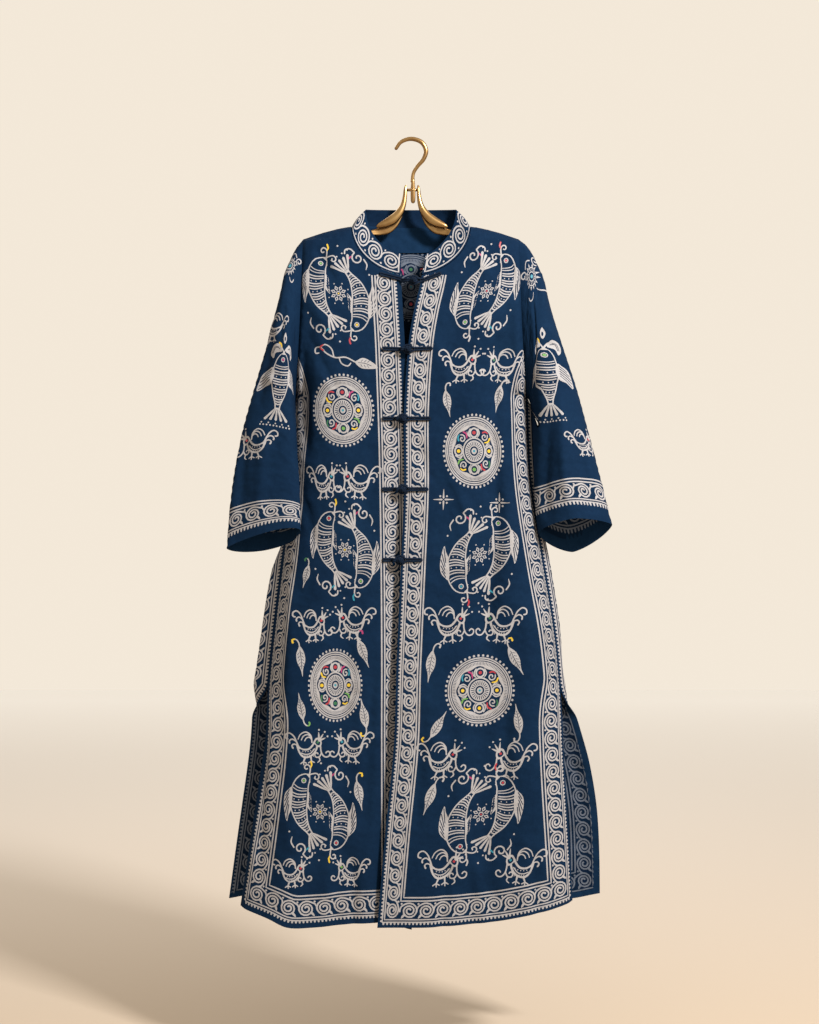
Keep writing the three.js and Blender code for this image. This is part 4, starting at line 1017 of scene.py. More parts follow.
def fish(pen, spine, half, eye, tip, fins):
    """A fish along a spine from its nose to its tail: gills, barred flanks, combed fins, a fan tail with
    dots and curled whiskers. Fins says how far each of the two reaches."""
    curve = evenly(through(spine), 1)
    far = lengths(curve)
    way = np.gradient(curve, axis=0)
    way /= np.linalg.norm(way, axis=1, keepdims=True)
    profile = smooth((0, 0.05, 0.16, 0.4, 0.7, 0.92, 1), (0.05, 0.45, 0.8, 1, 0.7, 0.3, 0.26))

    def at(t, s):
        """Places at shares along the spine and, sideways, shares of the fish's own width there."""
        t, s = np.broadcast_arrays(np.atleast_1d(np.array(t, float)), np.array(s, float))
        held = np.clip(t, 0, 1)
        place = np.stack([np.interp(held * far[-1], far, curve[:, i]) for i in (0, 1)], 1)
        step = np.stack([np.interp(held * far[-1], far, way[:, i]) for i in (0, 1)], 1)
        aside = np.stack([-step[:, 1], step[:, 0]], 1)
        beyond, out = (t - held) * far[-1], s * half * profile(held)
        return place + step * beyond[:, None] + aside * out[:, None]

    t = np.linspace(0, 1, 24)
    pen.area(np.vstack([at(t, 1), at(t[::-1], -1)]))
    t = np.linspace(0.04, 0.97, 22)
    s = np.maximum(1 - 2.1 / (half * profile(t)), 0.02)
    pen.area(np.vstack([at(t, s), at(t[::-1], -s[::-1])]), "indigo")
    pen.ring(at(0.13, 0)[0], 3.6, 1.5)
    pen.dot(at(0.13, 0)[0], 2, eye)
    across = np.linspace(-0.8, 0.8, 5)
    for t, width in ((0.215, 1.4), (0.255, 1.4)):
        pen.line(at(t + 0.04 * (1 - across * across), across), width, step=4)
    for k, t in enumerate(np.arange(0.32, 0.93, 4.1 / far[-1])):
        if k % 4 == 2:
            for s in (-0.5, 0, 0.5):
                pen.dot(at(t + 0.03 * (1 - s * s), s)[0], 1.1, sides=5)
        else:
            pen.line(at(t + 0.03 * (1 - across * across), across * 0.95), 1.9, step=4)
    for flip, fin in zip((1, -1), fins):
        edge = ((0.27, 0), (0.36, 0.85), (0.5, 1.2), (0.68, 1.9), (0.62, 0.95), (0.55, 0))
        pen.blob([at(t, (0.97 + s * fin) * flip)[0] for t, s in edge])
        for k in range(5):
            root = at(0.31 + 0.045 * k, flip * 1.12)[0]
            end = at(0.39 + 0.065 * k, flip * (0.97 + (0.72 + 0.23 * k) * fin))[0]
            pen.line([root, end], 1.4, "indigo", step=5)
        nose, ahead = curve[0], -way[0]
        side = np.array([-ahead[1], ahead[0]]) * flip
        whisker = ((-1, 0), (4, 3), (9, 8), (8, 14), (3, 15), (1, 11), (4, 9))
        pen.line([nose + ahead * a + side * b for a, b in whisker], 2.1)
    pen.line([nose + ahead * a - side * b for a, b in ((8, 6), (13, 8), (16, 13))], 2.6, tip, tips=(0.5, 1))
    for k in range(-2, 3):
        pen.line([at(0.98, 0.3 * k)[0], at(1.09, 1.2 * k)[0], at(1.19, 2 * k)[0]], 3, tips=(0.4, 1.4))
        pen.dot(at(1.255, 2.5 * k)[0], 1.4, sides=6)


def spray(pen, tip="red"):
    """A curled sprig with two leaves."""
    pen.line([(-24, 6), (-12, 2), (0, 4), (12, 0), (20, -6), (26, -4), (25, 2), (21, 1)], 2.2)
    pen.line([(2, 3.5), (6, -6), (14, -10), (19, -6), (15, -3)], 2)
    pen.line([(-4, 3), (-8, 10), (-16, 12), (-19, 8)], 2)
    pen.blob([(-24, 6), (-32, 0), (-44, 3), (-52, 9), (-42, 12), (-31, 12)])
    pen.line([(-28, 6.4), (-36, 6), (-44, 8)], 0.9, "indigo")
    for k in range(3):
        pen.line([(-31 - 4 * k, 4.6), (-33 - 4 * k, 2)], 0.8, "indigo", step=4)
        pen.line([(-31 - 4 * k, 8), (-33 - 4 * k, 10.6)], 0.8, "indigo", step=4)
    pen.line([(16, -9.6), (20, -5.6), (15.4, -2.6)], 2.5, tip, tips=(0.6, 1))


def double_fish(pen, eyes=("red", "green"), tips=("yellow", "red")):
    """Two bent fish that swim round a blossom, head to tail, with curled sprigs beside their tails."""
    spine = [(17, -59), (31, -44), (36, -14), (30, 13), (15, 36)]
    curls = ("rose", "teal")
    for k in (0, 1):
        part = pen.inner((0, 0), 180 * k)
        fish(part, spine, 16, eyes[k], tips[k], (0.35, 0.62))
        part.curl((-34, -57), 10, -60, 430, 2.3)
        part.line([(-29, -66), (-22, -72), (-14, -70), (-13, -64)], 2.2)
        part.line([(-44, -55), (-49, -46), (-47, -38)], 2.2, tips=(1, 0.5))
        part.line([(-24, -60), (-19, -56)], 2.4, curls[k], tips=(0.5, 1))
        part.dot((-52, -30), 1.6, sides=6)
        part.dot((-2, -76), 1.6, sides=6)
    for k in range(8):
        petal = pen.inner((0, 0), 45 * k + 22)
        petal.area([(4.6, 0), (9, -3), (13.4, 0), (9, 3)])
        petal.area([(6.6, 0), (9, -1.2), (11.2, 0), (9, 1.2)], "indigo")
        petal.dot((17, 0), 1.2, sides=5)
    pen.ring((0, 0), 3.4, 1.6, step=2)
    pen.dot((0, 0), 1.4, tips[0])


def tall_fish(pen, eye="green"):
    """One upright fish with a spear of leaves over its head and a row of dots below its tail."""
    fish(pen, [(0, -52), (0, -20), (0, 12), (0, 42)], 18, eye, "yellow", (1.2, 1.2))
    for flip in (1, -1):
        pen.blob([(flip * 4, -54), (flip * 12, -66), (flip * 24, -64), (flip * 29, -50), (flip * 21, -42),
                  (flip * 19, -51)])
        pen.line([(flip * 10, -58), (flip * 18, -60), (flip * 24, -51)], 1, "indigo")
        pen.line([(flip * 13, -61), (flip * 20, -61), (flip * 26, -52)], 0.8, "indigo")
    pen.blob([(0, -86), (-4.6, -76), (0, -66), (4.6, -76)])
    pen.blob([(0, -80), (-2, -75), (0, -70), (2, -75)], "indigo")
    for k in range(10):
        pen.dot(((k - 4.5) * 5.6, 70), 1.5, sides=6)


# -------- cloth to meshes

def inside(outline, points):
    """Which points lie within an outline, also where it runs over itself."""
    after = np.roll(outline, -1, axis=0)
    x, y = points[:, :1], points[:, 1:]
    step = after - outline
    side = step[:, 0] * (y - outline[:, 1]) - (x - outline[:, 0]) * step[:, 1]
    up = (outline[:, 1] <= y) & (after[:, 1] > y) & (side > 0)
    down = (outline[:, 1] > y) & (after[:, 1] <= y) & (side < 0)
    return up.sum(1) != down.sum(1)


def inside_many(outline, points, size=20000):
    """The same for very many points, some at a time."""
    return np.concatenate([inside(outline, points[k:k + size]) for k in range(0, len(points), size)])


class Cells:
    """Points sorted into square cells, to find those in a box quickly."""

    def __init__(self, points, size=12.0):
        self.points, self.size = points, size
        self.low = points.min(0)
        cell = ((points - self.low) / size).astype(int)
        self.wide = cell[:, 0].max() + 2
        code = cell[:, 1] * self.wide + cell[:, 0]
        self.order = np.argsort(code, kind="stable")
        self.codes = code[self.order]

    def near(self, low, high):
        """The points in the cells that a box touches."""
        i0, j0 = np.maximum(((low - self.low) / self.size).astype(int), 0)
        i1, j1 = ((high - self.low) / self.size).astype(int)
        found = []
        for j in range(j0, j1 + 1):
            a = np.searchsorted(self.codes, j * self.wide + i0)
            b = np.searchsorted(self.codes, j * self.wide + min(i1, self.wide - 1), side="right")
            found.append(self.order[a:b])
        return np.concatenate(found) if found else np.zeros(0, int)


def cut(outline, shapes, extra, net):
    """Cuts flat cloth into triangles along its outline and its print, with a net of places between them.
    Gives the places, the triangles and the number of each one's finish."""
    low, high = outline.min(0) - 1, outline.max(0) + 1
    loops = [outline] + [s for _, s in shapes if (s.max(0) > low).all() and (s.min(0) < high).all()]
    drawn = np.vstack(loops)
    edges, start = [], 0
    for loop in loops:
        k = np.arange(len(loop)) + start
        edges.append(np.stack([k, np.roll(k, -1)], 1))
        start += len(loop)
    xs, ys = np.meshgrid(np.arange(low[0], high[0], net), np.arange(low[1], high[1], net))
    xs = xs + (np.arange(xs.shape[0]) % 2)[:, None] * net / 2
    spots = np.stack([xs.ravel(), ys.ravel()], 1)
    if len(extra):
        spots = np.vstack([spots, extra])
    spots = spots[inside(outline, spots)]
    room = net * 0.45
    taken = set(map(tuple, (drawn / room).astype(int)))
    spots = spots[[tuple(s) not in taken for s in (spots / room).astype(int)]]
    places = [Vector(p) for p in np.vstack([drawn, spots])]
    made = delaunay_2d_cdt(places, np.vstack(edges).tolist(), [], 0, 1e-3, False)
    places = np.array([tuple(v) for v in made[0]])
    faces = np.array(made[2])
    middles = places[faces].mean(1)
    kept = inside_many(outline, middles)
    faces, middles = faces[kept], middles[kept]
    finish = np.zeros(len(faces), int)
    cells = Cells(middles)
    for number, shape in shapes:
        near = cells.near(shape.min(0), shape.max(0))
        if len(near):
            finish[near[inside(shape, middles[near])]] = number
    used, faces = np.unique(faces, return_inverse=True)
    return places[used], faces.reshape(-1, 3), finish


def rim_edges(faces):
    """The directed edges that only one triangle has."""
    edges = np.vstack([faces[:, [0, 1]], faces[:, [1, 2]], faces[:, [2, 0]]])
    key = np.sort(edges, axis=1)
    _, first, count = np.unique(key, axis=0, return_index=True, return_counts=True)
    return edges[first[count == 1]]


# The reverse faces take darker copies of the indigo and undyed finishes: painted shade for the inside of
# the jacket.
REVERSE = {FINISHES.index("indigo"): FINISHES.index("indigo_reverse_shaded"),
           FINISHES.index("undyed"): FINISHES.index("undyed_reverse_shaded")}


def sew(name, cloth, outline, drawing, thickness, materials, extra=(), hem=None, sink=0.0, net=7.0):
    """A wall of cloth as a closed mesh: its face, its reverse a thickness behind, and the rim between them.
    Hem says which places of the reverse have the finish of the turned hem."""
    places, faces, finish = cut(outline, drawing.shapes, extra, net)
    points, normals = cloth.hang(places)
    points = points - normals * sink
    corner = points[faces]
    facing = np.cross(corner[:, 1] - corner[:, 0], corner[:, 2] - corner[:, 0])
    if (facing * normals[faces[:, 0]]).sum() < 0:
        faces = faces[:, ::-1]
    count = len(points)
    rim = rim_edges(faces)
    walls = np.vstack([np.stack([rim[:, 1], rim[:, 0], rim[:, 0] + count], 1),
                       np.stack([rim[:, 1], rim[:, 0] + count, rim[:, 1] + count], 1)])
    # The reverse faces' darker finishes are painted shade for the inside of the jacket.
    reverse = np.array([REVERSE.get(k, k) for k in range(len(FINISHES))])[finish]
    if hem:
        reverse[hem(places[faces].mean(1))] = FINISHES.index("hem")
    all_faces = np.vstack([faces, faces[:, ::-1] + count, walls])
    all_points = np.vstack([points, points - normals * thickness])
    material = np.concatenate([finish, reverse, np.zeros(len(walls), int)])
    mesh = bpy.data.meshes.new(name)
    mesh.from_pydata((all_points * MM).tolist(), [], all_faces.tolist(), shade_flat=False)
    for finish_name in FINISHES:
        mesh.materials.append(materials[finish_name])
    mesh.polygons.foreach_set("material_index", material.astype(np.int32))
    uv = np.vstack([places, places])[all_faces.ravel()] * MM
    mesh.uv_layers.new(name="cloth").data.foreach_set("uv", uv.astype(np.float32).ravel())
    corner_normals = np.vstack([normals, -normals])[all_faces]
    flat = all_points[all_faces[2 * len(faces):]]
    flat = np.cross(flat[:, 1] - flat[:, 0], flat[:, 2] - flat[:, 0])
    flat /= np.maximum(np.linalg.norm(flat, axis=1, keepdims=True), 1e-12)
    corner_normals[2 * len(faces):] = flat[:, None, :]
    mesh.normals_split_custom_set(corner_normals.reshape(-1, 3).tolist())
    mesh.update()
    piece = bpy.data.objects.new(name, mesh)
    bpy.context.scene.collection.objects.link(piece)
    return piece


# -------- finishes

class Finish:
    """A material in the making: its nodes, with short ways to add and join them."""

    def __init__(self, name, roughness, metallic=0.0):
        self.material = bpy.data.materials.new(name)
        self.material.use_nodes = True
        self.tree = self.material.node_tree
        self.shader = self.tree.nodes["Principled BSDF"]
        self.shader.inputs["Roughness"].default_value = roughness
        self.shader.inputs["Metallic"].default_value = metallic

    def node(self, kind, inputs=None, **settings):
        node = self.tree.nodes.new("ShaderNode" + kind)
        for key, value in settings.items():
            setattr(node, key, value)
        for key, value in (inputs or {}).items():
            if isinstance(value, bpy.types.NodeSocket):
                self.tree.links.new(value, node.inputs[key])
            else:
                node.inputs[key].default_value = value
        return node

    def link(self, socket, name):
        self.tree.links.new(socket, self.shader.inputs[name])

    def mix(self, factor, a, b):
        node = self.node("Mix", data_type="RGBA")
        for index, value in ((0, factor), (6, a), (7, b)):
            if isinstance(value, bpy.types.NodeSocket):
                self.tree.links.new(value, node.inputs[index])
            else:
                node.inputs[index].default_value = value if index == 0 else (*value, 1)
        return node.outputs[2]

    def ramp(self, value, low, high):
        return self.node("MapRange", {0: value, 1: low, 2: high}).outputs[0]

    def bump(self, height, strength, distance, **under):
        return self.node("Bump", {"Strength": strength, "Distance": distance, "Height": height,
                                  **under}).outputs[0]

    def noise(self, vector, scale, detail=3.0, roughness=0.55):
        return self.node("TexNoise", {"Vector": vector, "Scale": scale, "Detail": detail,
                                      "Roughness": roughness}).outputs["Fac"]

    def stretched(self, vector, scale):
        return self.node("Mapping", {"Vector": vector, "Scale": scale}).outputs[0]

    def math(self, kind, a, b=0.0):
        return self.node("Math", {0: a, 1: b}, operation=kind).outputs[0]


def add_weave(finish, uv):
    """Warp and weft as slubs along both ways, on a soft rumple."""
    warp = finish.noise(finish.stretched(uv, (1500, 90, 1)), 1.0, 2.0)
    weft = finish.noise(finish.stretched(uv, (90, 1500, 1)), 1.0, 2.0)
    threads = finish.math("ADD", warp, weft)
    rumple = finish.noise(uv, 24.0, 2.0, 0.5)
    soft = finish.bump(rumple, 1.0, 0.006)
    finish.link(finish.bump(threads, 0.35, 0.00025, Normal=soft), "Normal")
    return threads


def indigo_cotton(name, deep, pale):
    finish = Finish(name, 0.88)
    uv = finish.node("UVMap", uv_map="cloth").outputs[0]
    clouds = finish.noise(uv, 9.0, 4.0, 0.6)
    specks = finish.noise(uv, 160.0, 3.0, 0.7)
    threads = add_weave(finish, uv)
    tone = finish.math("ADD", finish.math("MULTIPLY", clouds, 0.55), finish.math("MULTIPLY", specks, 0.3))
    tone = finish.math("ADD", tone, finish.math("MULTIPLY", threads, 0.16))
    finish.link(finish.mix(finish.ramp(tone, 0.38, 0.82), deep, pale), "Base Color")
    finish.shader.inputs["Specular IOR Level"].default_value = 0.04
    return finish.material


def undyed_cotton(name, cloth, dye):
    """Cotton that wax kept from the dye, with faint blue veins where the wax cracked."""
    finish = Finish(name, 0.9)
    uv = finish.node("UVMap", uv_map="cloth").outputs[0]
    add_weave(finish, uv)
    patches = finish.noise(uv, 60.0, 3.0, 0.6)
    veins = finish.noise(uv, 260.0, 2.0, 0.5)
    vein = finish.math("ABSOLUTE", finish.math("SUBTRACT", veins, 0.5))
    crack = finish.ramp(vein, 0.035, 0.0)
    stain = finish.math("ADD", finish.math("MULTIPLY", crack, 0.28), finish.ramp(patches, 0.62, 0.95))
    finish.link(finish.mix(stain, cloth, dye), "Base Color")
    finish.shader.inputs["Specular IOR Level"].default_value = 0.2
    return finish.material


def silk_stitch(name, colour):
    """Satin stitch in bright silk, with the threads side by side."""
    finish = Finish(name, 0.5)
    uv = finish.node("UVMap", uv_map="cloth").outputs[0]
    strands = finish.noise(finish.stretched(uv, (2200, 240, 1)), 1.0, 2.0)
    finish.link(finish.bump(strands, 0.6, 0.0004), "Normal")
    dark = tuple(c * 0.6 for c in colour)
    finish.link(finish.mix(finish.ramp(strands, 0.35, 0.65), dark, colour), "Base Color")
    finish.shader.inputs["Sheen Weight"].default_value = 0.3
    return finish.material


def rolled_cord():
    """Rolled bias strip of dark indigo cotton."""
    finish = Finish("frog_cord", 0.82)
    place = finish.node("TexCoord").outputs["Object"]
    threads = finish.noise(place, 900.0, 3.0)
    finish.link(finish.bump(threads, 0.5, 0.0004), "Normal")
    tone = finish.ramp(finish.noise(place, 90.0), 0.3, 0.75)
    finish.link(finish.mix(tone, (0.0016, 0.0055, 0.015), (0.0032, 0.011, 0.028)), "Base Color")
    finish.shader.inputs["Specular IOR Level"].default_value = 0.12
    return finish.material


def aged_brass():
    """Worn brass with a satin shine and brown patina in soft patches."""
    finish = Finish("aged_brass", 0.3, 1.0)
    place = finish.node("TexCoord").outputs["Object"]
    clouds = finish.noise(place, 38.0, 3.0, 0.5)
    spots = finish.noise(place, 260.0, 2.0, 0.5)
    dull = finish.math("ADD", finish.math("MULTIPLY", clouds, 0.8), finish.math("MULTIPLY", spots, 0.2))
    tarnish = finish.ramp(dull, 0.42, 0.7)
    finish.link(finish.mix(tarnish, (0.37, 0.235, 0.10), (0.17, 0.085, 0.032)), "Base Color")
    finish.link(finish.node("MapRange", {0: tarnish, 3: 0.26, 4: 0.42}).outputs[0], "Roughness")
    finish.link(finish.bump(spots, 0.05, 0.0003), "Normal")
    return finish.material


SILKS = dict(yellow=(0.62, 0.42, 0.01), red=(0.34, 0.008, 0.02), teal=(0.0, 0.20, 0.29),
             green=(0.10, 0.27, 0.05), dark_green=(0.004, 0.11, 0.035), rose=(0.32, 0.012, 0.11))


def cloth_materials():
    """The material of each finish. The colours are linear."""
    made = {
        "indigo": indigo_cotton("indigo_cotton", (0.0022, 0.0098, 0.028), (0.0050, 0.0195, 0.050)),
        "undyed": undyed_cotton("undyed_cotton", (0.31, 0.30, 0.305), (0.055, 0.085, 0.135)),
        "hem": indigo_cotton("turned_hem", (0.0036, 0.015, 0.040), (0.0074, 0.028, 0.070)),
        # The reverse copies are darker: painted shade for the inside of the jacket. The undyed one is much
        # darker and bluer, and also gives the fainter print of the cloth's reverse.
        "indigo_reverse_shaded": indigo_cotton("indigo_reverse_shaded", (0.0022, 0.0085, 0.024), (0.0044, 0.0165, 0.043)),
        "undyed_reverse_shaded": undyed_cotton("undyed_reverse_shaded", (0.11, 0.13, 0.17), (0.014, 0.028, 0.055)),
    }
    for silk, colour in SILKS.items():
        made[silk] = silk_stitch("silk_" + silk, colour)
    return made


# -------- the pieces of cloth

def along(low, high, step=5.0):
    """Numbers from one to another, a step or so apart."""
    return np.linspace(low, high, max(int(abs(high - low) / step), 2) + 1)


def edge_place(panel, share, drop):
    return panel.flat(np.array([float(share)]), np.array([float(drop)]))[0]


def armhole_drops():
    """Drops up the armhole, closer together at its two ends."""
    return ARMHOLE["bottom"] - (ARMHOLE["bottom"] - ARMHOLE["top"]) * ease(np.linspace(0, 1, 60))


def neckline(front, count=22):
    """The places along a front's neckline, from the shoulder to the opening."""
    last = opening[front.side](NECK["drop"] + NECK["front_depth"]) * front.side
    angles = np.linspace(math.pi / 2, math.asin(last / NECK["half_width"]), count)
    return np.array([front.at(front.side * NECK["half_width"] * math.sin(t),
                              NECK["drop"] + NECK["front_depth"] * math.cos(t)) for t in angles])


def front_legs(front):
    """A front's free edges: the opening, the hem and the side."""
    start = NECK["drop"] + NECK["front_depth"]
    opened = np.array([(0, d) for d in along(start, float(front.hem(0)))])
    hem = np.array([edge_place(front, t, front.hem(t)) for t in np.linspace(0, 1, 60)])
    side = np.array([(float(front.width(d)), d) for d in along(float(front.hem(1)), ARMHOLE["bottom"])])
    return opened, hem, side


def front_outline(front):
    opened, hem, side = front_legs(front)
    arm = np.array([(float(front.width(d)), d) for d in armhole_drops()])
    shoulder = np.array([front.at(front.side * x, float(shoulder_drop(x)))
                         for x in np.linspace(ARMHOLE["x"], NECK["half_width"], 22)])
    return np.vstack([opened, hem[1:], side[1:], arm[1:], shoulder[1:], neckline(front)[1:-1]])


RIDGE_STEPS = (0.15, 0.6, 1.4, 2.6, 4.4, 7, 10.5, 15, 20)


def ridge_net(panel, top_drop, xs):
    """Extra places close below the shoulder, where the cloth turns over its ridge."""
    return np.array([panel.at(x, float(top_drop(x)) + below) for below in RIDGE_STEPS for x in xs])


# Motifs of a front: kind, x, drop, then settings. X is the distance from the middle, to the wearer's side.
FRONT_MOTIFS = {
    RIGHT: [
        ("double_fish", 114, 250, dict(eyes=("green", "yellow"), tips=("yellow", "red"), squeeze=0.96)),
        ("spray", 118, 346, dict(turn=-8, tip="red", size=1.3)),
        ("roundel", 107, 434, dict(reach=58, squeeze=0.86, south="green")),
        ("bird", 137, 547, dict(squeeze=0.78, mirror=-1, eye="teal")),
        ("bird", 84, 547, {}), ("double_fish", 104, 653, dict(tips=("yellow", "teal"), squeeze=0.9)),
        ("leaf", 165, 692, dict(turn=75, tip="dark_green", size=0.8)),
        ("bird", 154, 773, dict(size=0.95, squeeze=0.9, mirror=-1)), ("bird", 92, 769, dict(size=0.98)),
        ("leaf", 173, 824, dict(turn=96)), ("leaf", 76, 812, dict(turn=70, mirror=-1, tip="rose")),
        ("roundel", 119, 866, dict(reach=58, squeeze=0.74, south="dark_green")),
        ("leaf", 172, 902, dict(turn=-80, size=0.9, tip="green")),
        ("leaf", 74, 914, dict(turn=-100, mirror=-1)),
        ("bird", 161, 964, dict(size=0.95, mirror=-1, eye="dark_green")),
        ("bird", 94, 964, dict(size=0.95, eye="teal")),
        ("double_fish", 143, 1064, dict(eyes=("green", "red"), tips=("yellow", "yellow"), squeeze=0.92)),
        ("leaf", 82, 1036, dict(turn=80, mirror=-1)),
        ("bird", 186, 1160, dict(size=0.85, mirror=-1)),
        ("bird", 96, 1160, dict(size=0.85, eye="green")),
    ],
    LEFT: [
        ("double_fish", 119, 246, dict(tips=("red", "undyed"), squeeze=0.86)),
        ("bird", 80, 364, {}), ("bird", 146, 364, dict(mirror=-1, eye="dark_green")),
        ("leaf", 57, 420, dict(turn=78, tip=None, size=0.9)),
        ("leaf", 140, 412, dict(turn=100, tip=None, size=0.9)),
        ("roundel", 99, 498, dict(reach=59, squeeze=0.84, south="green")),
        ("star", 51, 574, {}), ("star", 140, 579, {}),
        ("double_fish", 108, 661, dict(eyes=("green", "teal"), tips=("undyed", "red"))),
        ("bird", 61, 771, dict(size=1.08)),
        ("bird", 141, 771, dict(size=1.08, mirror=-1, eye="dark_green")),
        ("leaf", 31, 832, dict(turn=97, size=1.05, tip="undyed")),
        ("leaf", 163, 824, dict(turn=60, size=1.05)),
        ("roundel", 108, 874, dict(reach=57, squeeze=0.97, south="yellow")),
        ("leaf", 41, 930, dict(turn=-60)), ("leaf", 168, 922, dict(turn=-100, tip="undyed")),
        ("bird", 48, 984, dict(size=1.08)), ("bird", 156, 984, dict(size=1.08, mirror=-1)),
        ("leaf", 30, 1040, dict(turn=105, tip="undyed", size=1.08)),
        ("double_fish", 110, 1069, dict(eyes=("red", "red"), tips=("red", "undyed"), squeeze=1.05)),
        ("bird", 50, 1152, dict(size=1.08)), ("bird", 172, 1150, dict(size=1.08, mirror=-1, eye="teal")),
    ],
}
MOTIFS = dict(double_fish=double_fish, spray=spray, roundel=roundel, bird=bird, leaf=leaf, star=star,
              tall_fish=tall_fish, drum=drum)
PEN_SETTINGS = ("turn", "size", "mirror", "squeeze")


def draw_motifs(drawing, cloth, rows, side, mirror):
    """Draws motifs where they hang. Mirror is -1 on cloth whose flat form is seen from behind."""
    for kind, x, drop, settings in rows:
        how = {key: value for key, value in settings.items() if key in PEN_SETTINGS}
        how["mirror"] = how.get("mirror", 1) * mirror
        rest = {key: value for key, value in settings.items() if key not in PEN_SETTINGS}
        MOTIFS[kind](Pen(drawing, cloth.at(side * x, drop), **how), **rest)


def make_front(side, materials):
    front = Front(side)
    front.crease(FRONT_CREASES[side])
    drawing = Print()
    draw_motifs(drawing, front, FRONT_MOTIFS[side], side, 1)
    placket = PLACKET[side]
    scales = (placket["scale"], 1, (1, placket["side"]))
    pitches = (placket["pitch"], WHORL_PITCH, WHORL_PITCH)
    opened, hem, edge = front_legs(front)
    edge = np.vstack([edge[:-1], through([edge[-1] + out_up for out_up in BORDER_END], 12)])
    border(drawing, [opened, hem, edge], -1, placket["plain"], scales, pitches)
    xs = [side * x for x in np.linspace(NECK["half_width"] + 1, ARMHOLE["x"] - 0.5, 18)]
    extra = ridge_net(front, lambda x: shoulder_drop(abs(x)), xs)
    name = "front_left" if side == LEFT else "front_right"
    outline = front_outline(front)
    piece = sew(name + "_cloth", front, outline, drawing, CLOTH, materials, extra)
    dress(piece, name)
    return front


def dress(piece, node):
    """Fastens a piece of cloth to the jacket in place of a node, which it hides."""
    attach(piece, "root")
    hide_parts(node)


BACK_MOTIFS = [
    ("roundel", 0, 230, dict(reach=57, north="dark_green", south="red")),
    ("bird", -90, 262, {}), ("bird", 90, 262, dict(mirror=-1)),
    ("double_fish", 0, 395, {}),
    ("roundel", -112, 420, dict(reach=52)), ("roundel", 112, 420, dict(reach=52)),
    ("bird", -115, 550, {}), ("bird", 115, 550, dict(mirror=-1)),
    ("star", -50, 520, {}), ("star", 50, 520, {}),
    ("roundel", 0, 570, dict(reach=58)),
    ("double_fish", -120, 690, {}), ("double_fish", 120, 690, dict(mirror=-1)),
    ("bird", -30, 700, dict(size=0.95)), ("bird", 40, 760, dict(size=0.95, mirror=-1)),
    ("roundel", 0, 880, dict(reach=58)), ("leaf", -75, 850, dict(turn=80)),
    ("leaf", 75, 850, dict(turn=100)),
    ("roundel", -135, 880, dict(reach=50)), ("roundel", 135, 880, dict(reach=50)),
    ("bird", -140, 1000, {}), ("bird", 140, 1000, dict(mirror=-1)),
    ("double_fish", 0, 1040, dict(eyes=("yellow", "red"))),
    ("double_fish", -130, 1090, dict(size=0.9)), ("double_fish", 130, 1090, dict(size=0.9, mirror=-1)),
    ("leaf", -66, 1130, dict(turn=80)), ("leaf", 66, 1130, dict(turn=100)),
]


def make_back(materials):
    back = Back()
    back.crease(BACK_CREASES)
    drawing = Print()
    draw_motifs(drawing, back, BACK_MOTIFS, 1, 1)
    right = np.array([edge_place(back, 0, d) for d in along(ARMHOLE["bottom"], float(back.hem(0)))])
    hem = np.array([edge_place(back, t, back.hem(t)) for t in np.linspace(0, 1, 110)])
    left = np.array([edge_place(back, 1, d) for d in along(float(back.hem(1)), ARMHOLE["bottom"])])
    border(drawing, [right, hem, left], -1)
    arm = armhole_drops()
    left_arm = np.array([edge_place(back, 1, d) for d in arm])
    right_arm = np.array([edge_place(back, 0, d) for d in arm[::-1]])
    xs = np.linspace(ARMHOLE["x"], -ARMHOLE["x"], 90)
    top = np.array([back.at(x, float(back_top_drop(x))) for x in xs])
    outline = np.vstack([right, hem[1:], left[1:], left_arm[1:], top[1:], right_arm[1:-1]])
    extra = ridge_net(back, back_top_drop, xs[1:-1])

    def turned(middles):
        share, drop = back.find(middles)
        edge = np.minimum(share, 1 - share) * back.width(drop)
        margin = np.where(share < 0.5, TURNED["right"], TURNED["left"])
        return (drop > VENT_TOP - 40) & ((edge < margin) | (drop > back.hem(share) - TURNED["hem"]))

    piece = sew("back_cloth", back, outline, drawing, CLOTH, materials, extra, turned, net=11)
    dress(piece, "back")
    return back


def make_facing(back, materials):
    """The plain lining of the back neck."""
    reach = NECK["half_width"] - FACING["inset"]
    xs = np.linspace(reach, -reach, 70)
    top = [back.at(x, float(back_top_drop(x)) - FACING["above"]) for x in xs]
    low = [back.at(x, lerp(FACING["side_drop"], FACING["drop"], neck_arch(x))) for x in xs[::-1]]
    outline = np.vstack([top, low])
    drawing = Print()
    drawing.line([place - (0, 5) for place in low[::2]], 0.8, "indigo")
    plain = dict(materials, indigo=materials["hem"], indigo_reverse_shaded=materials["hem"])
    piece = sew("back_neck_facing_cloth", back, outline, drawing, FACING["cloth"], plain,
                ridge_net(back, back_top_drop, xs[1:-1]), sink=CLOTH + FACING["gap"])
    dress(piece, "back_neck_facing")


SLEEVE_MOTIFS = {
    RIGHT: [("tall_fish", 203, 395, dict(size=0.95, turn=6, eye="rose")),
            ("bird", 216, 305, dict(size=0.85)),
            ("drum", 190, 205, {}), ("bird", 245, 488, dict(size=0.95, turn=10))],
    LEFT: [("tall_fish", 216, 385, dict(size=0.95, turn=-14)), ("drum", 191, 222, dict(size=1.3)),
           ("bird", 272, 484, dict(size=0.8, mirror=-1))],
}


